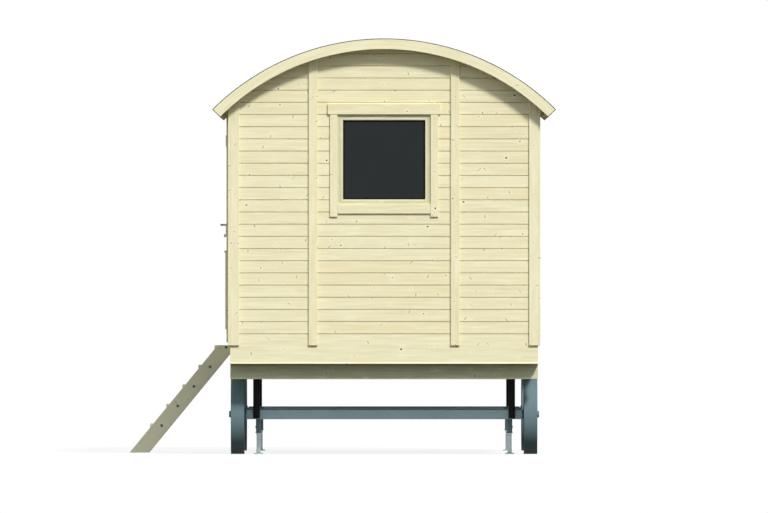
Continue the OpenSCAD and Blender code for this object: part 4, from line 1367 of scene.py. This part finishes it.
for node in ("hinge_frames", "hinge_flaps"):
    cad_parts[node].data.materials.clear()
    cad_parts[node].data.materials.append(brushed.material)
hinge_screws, flap_screws = Stock(), Stock()
hinge_y, flap_thick, frame_plate_rise = leaf_low.y - door_gap / 2, 0.002, 0.022
hinge_spots = ((0.014, 0.011), (0.029, -0.011))
for low, high in solids("hinge_flaps"):
    for reach, rise in hinge_spots:
        z = (low[2] + high[2]) / 2 + rise
        screw(flap_screws, beside(leaf_low.x - flap_thick, hinge_y + reach, z, 0, -1))
for low, high in solids("hinge_frames"):
    for reach, rise in hinge_spots:
        z = low[2] + frame_plate_rise + rise
        screw(hinge_screws, beside(casing_low.x - flap_thick, hinge_y - reach, z, 0, -1))
flap_screws.piece("hinge_flap_screws", "door", "bright_steel", dark_steel)
hinge_screws.piece("hinge_frame_screws", "hut", "bright_steel", dark_steel)

plates = Stock()
plate_low, plate_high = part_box("lock_plates")
lever_low, lever_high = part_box("door_lever")
lock_plate_thick, plate_half, plate_corner, plate_screw_inset = 0.007, 0.021, 0.008, 0.012
plate_y = plate_high.y - plate_half
lever_z = (lever_low.z + lever_high.z) / 2
knob_drop, knob_neck, knob_end, knob_neck_radius, knob_radius = 0.086, 0.008, 0.020, 0.0085, 0.013
for face, way in ((leaf_low.x, -1), (leaf_high.x, 1)):
    plates.add(
        beside(face, plate_y, 0, 0, way), (0, lock_plate_thick),
        rounded((-plate_half, plate_half), (plate_low.z, plate_high.z), plate_corner, 5), 0.0015,
    )
    for z in (plate_low.z + plate_screw_inset, plate_high.z - plate_screw_inset):
        screw(plates, beside(face + way * lock_plate_thick, plate_y, z, 0, way), 0.0042)
knob_at = beside(leaf_low.x - lock_plate_thick, plate_y, lever_z - knob_drop, 0, -1)
plates.add(knob_at, (0, knob_neck), disc(knob_neck_radius, 32), 0.001)
plates.add(knob_at, (knob_neck, knob_end), disc(knob_radius, 40), 0.0025)
plates.piece("lock_plate_pair", "door", "bright_steel", brushed.material, ("lock_plates",))
grip_radius, bend_radius, rose_radius, rose_thick = 0.0078, 0.014, 0.0108, 0.004
leaf_middle = (leaf_low.x + leaf_high.x) / 2
grip_out = leaf_middle - lever_low.x - grip_radius - 0.0002
grip_long = plate_y - lever_low.y - 0.0002


def lever_rings(side):
    """A lever as rings round a path: straight out of the plate, a quarter circle, then along the
    leaf. The radius falls to nothing at the free end as a circle does, and the grip is flattened
    a little towards it. Side is -1 outside the hut and 1 inside."""
    arc = np.linspace(0, pi / 2, 9)
    tip = np.sin(np.linspace(0, pi / 2, 7))
    straight = grip_out - bend_radius
    grip_end = grip_long - grip_radius
    out = np.concatenate([
        np.linspace(0, straight, 3), straight + bend_radius * np.sin(arc)[1:], np.full(13, grip_out)
    ])
    reach = np.concatenate([
        np.zeros(3), bend_radius * (1 - np.cos(arc))[1:],
        np.linspace(bend_radius, grip_end, 7)[1:], grip_end + grip_radius * tip,
    ])
    lean = np.concatenate([np.zeros(3), arc[1:], np.full(13, pi / 2)])
    radius = np.concatenate([np.full(17, grip_radius), grip_radius * np.sqrt(1 - (tip * 0.999) ** 2)])
    flat = 1 - 0.22 * np.clip((reach - bend_radius) / (grip_long - bend_radius), 0, 1)
    turn = np.linspace(0, 2 * pi, 24, endpoint=False)
    in_plane = radius[:, None] * np.cos(turn) * flat[:, None]
    x = leaf_middle + side * (out[:, None] - in_plane * np.sin(lean)[:, None])
    y = plate_y - reach[:, None] - in_plane * np.cos(lean)[:, None]
    return np.stack([x, y, lever_z + radius[:, None] * np.sin(turn)], -1)


rose_from = leaf_thick / 2 + lock_plate_thick
rose_face = rose_from + rose_thick
rose = [
    (rose_from + 0.0004, 0.0004), (rose_from + 0.0004, rose_radius),
    (rose_face - 0.001, rose_radius), (rose_face, rose_radius - 0.001), (rose_face, 0.0004),
]
lever_parts = []
for side in (-1, 1):
    lever_parts.append((lever_rings(side), False))
    lever_parts.append((turned(rose, 40) * [side, 1, 1] + [leaf_middle, plate_y, lever_z], True))
lever_pair = cast("lever_pair", lever_parts, 35)
placed("lever_pair", lever_pair, "lever", brushed.material, ("door_lever",))

# Ladder: two sloping side boards, cut level at the ground and upright against the siding, with
# treads let in between them and held by a bolt through each side board.
ladder, bolts = Stock(), Stock()
stringer_low, stringer_high = solids("ladder_stringers")[0]
ladder_slope, stringer_width, soft, ground_gap = radians(50.6), 0.120, 0.002, 0.0007
foot_x, wall_x, top_z = stringer_low[0], front_low.x, stringer_high[2]


def sloping(local):
    """Turns (up the slope, across it towards the wall, y) to x, y, z from the ladder's foot."""
    along, across = local[..., 0], local[..., 1]
    return np.stack([
        foot_x + along * cos(ladder_slope) + across * sin(ladder_slope), local[..., 2],
        along * sin(ladder_slope) - across * cos(ladder_slope),
    ], -1)


def stringer_foot(across):
    """The lower end of a stringer, level and just clear of the ground."""
    return across / tan(ladder_slope) + ground_gap


def stringer_top(across):
    """The upper end of a stringer: level, or upright where the wall stops it first."""
    level = (top_z + across * cos(ladder_slope)) / sin(ladder_slope)
    wall = (wall_x - foot_x - across * sin(ladder_slope)) / cos(ladder_slope)
    return np.minimum(level, wall)


corner_across = (wall_x - foot_x) * sin(ladder_slope) - top_z * cos(ladder_slope)
for low, high in solids("ladder_stringers"):
    y0, y1 = low[1], high[1]
    ladder.add(sloping, (stringer_foot, stringer_top), [
        (soft, y0), (corner_across, y0), (stringer_width - soft, y0), (stringer_width, y0 + soft),
        (stringer_width, y1 - soft), (stringer_width - soft, y1), (corner_across, y1), (soft, y1),
        (0, y1 - soft), (0, y0 + soft),
    ], 0.0008)
for low, high in solids("ladder_treads"):
    ladder.block(low, high, 0.003)
# The ladder's spruce is paler than the walls': painted light that lifts it out of the hut's shade.
light_painted_ladder_spruce = spruce(
    "ladder spruce paled as painted light", display(244, 241, 214), display(222, 217, 182), display(238, 228, 192), 0.7
)
ladder.piece(
    "ladder_timber", "hut", "shaded_wood", light_painted_ladder_spruce, ("ladder_stringers", "ladder_treads")
)

# Screws: the battens, corner boards and casings are held by small stainless screws, set flush in
# rows that follow the boards behind, and the ladder's treads by domed bolts on washers.
screws = Stock()
screw_radius, screw_sunk, screw_proud = 0.0032, 0.0006, 0.0003
head_inset, leg_inset, end_inset = 0.03, 0.01, 0.03
tread_bolt_in, tread_washer, tread_bolt_end = 0.092, 0.0015, 0.0055


def drive(place, u, z, face):
    """Sets a screw in a wall's trim, at a place along it and a height, in a face that far out."""
    screws.add(
        lambda local: place(local[..., [1, 2, 0]] * [1, 1, -1] + [u, z, 0]),
        (face - screw_sunk, face + screw_proud), disc(screw_radius, 12), 0.0003,
    )


for turn in (0, 90, 180, 270):
    place = facing(turn)
    cross = half_width if turn % 180 == 0 else half_length
    strips = [
        ((u0 + u1) / 2, z1) for u0, u1, z0, z1 in in_wall(turn, batten_boxes, -corner_thick / 2, 0.004)
    ]
    strips += [(side * (cross - corner_width / 2), wall_head) for side in (-1, 1)]
    for u, top in strips:
        for z in np.arange(siding_start - 0.5 * siding_pitch, top - 0.05, 4 * siding_pitch):
            drive(place, u, z, corner_thick)
    for u0, u1, z0, z1 in window_holes(turn):
        foot = z0 + casing_cover - casing_foot
        legs = u0 - casing_width / 2, u1 + casing_width / 2
        spots = [(u, z, side_proud) for u in legs for z in (foot + leg_inset, z1 - head_inset)]
        spots += [(u, z1 + casing_head / 2, head_proud) for u in legs]
        spots += [(u, foot + casing_foot / 2, side_proud) for u in (u0 + end_inset, u1 - end_inset)]
        for u, z, face in spots:
            drive(place, u, z, face)
for low, high in solids("ladder_treads"):
    for side in (-1, 1):
        bolt_at = beside(
            low[0] + tread_bolt_in, side * abs(stringer_low[1]), (low[2] + high[2]) / 2, 1, side
        )
        bolts.add(bolt_at, (0, tread_washer), disc(0.011, 24), 0.0005)
        bolts.add(bolt_at, (tread_washer, tread_bolt_end), disc(0.0075, 20), 0.0022)
bolts.piece("ladder_bolts", "hut", "bright_steel", dark_steel)
stainless = bare_steel(
    "stainless screws", display(150, 150, 140), display(196, 194, 178), 0.6, 0.35, 90, 2, 0.2
)
screws.piece("trim_screws", "hut", "bright_steel", stainless)
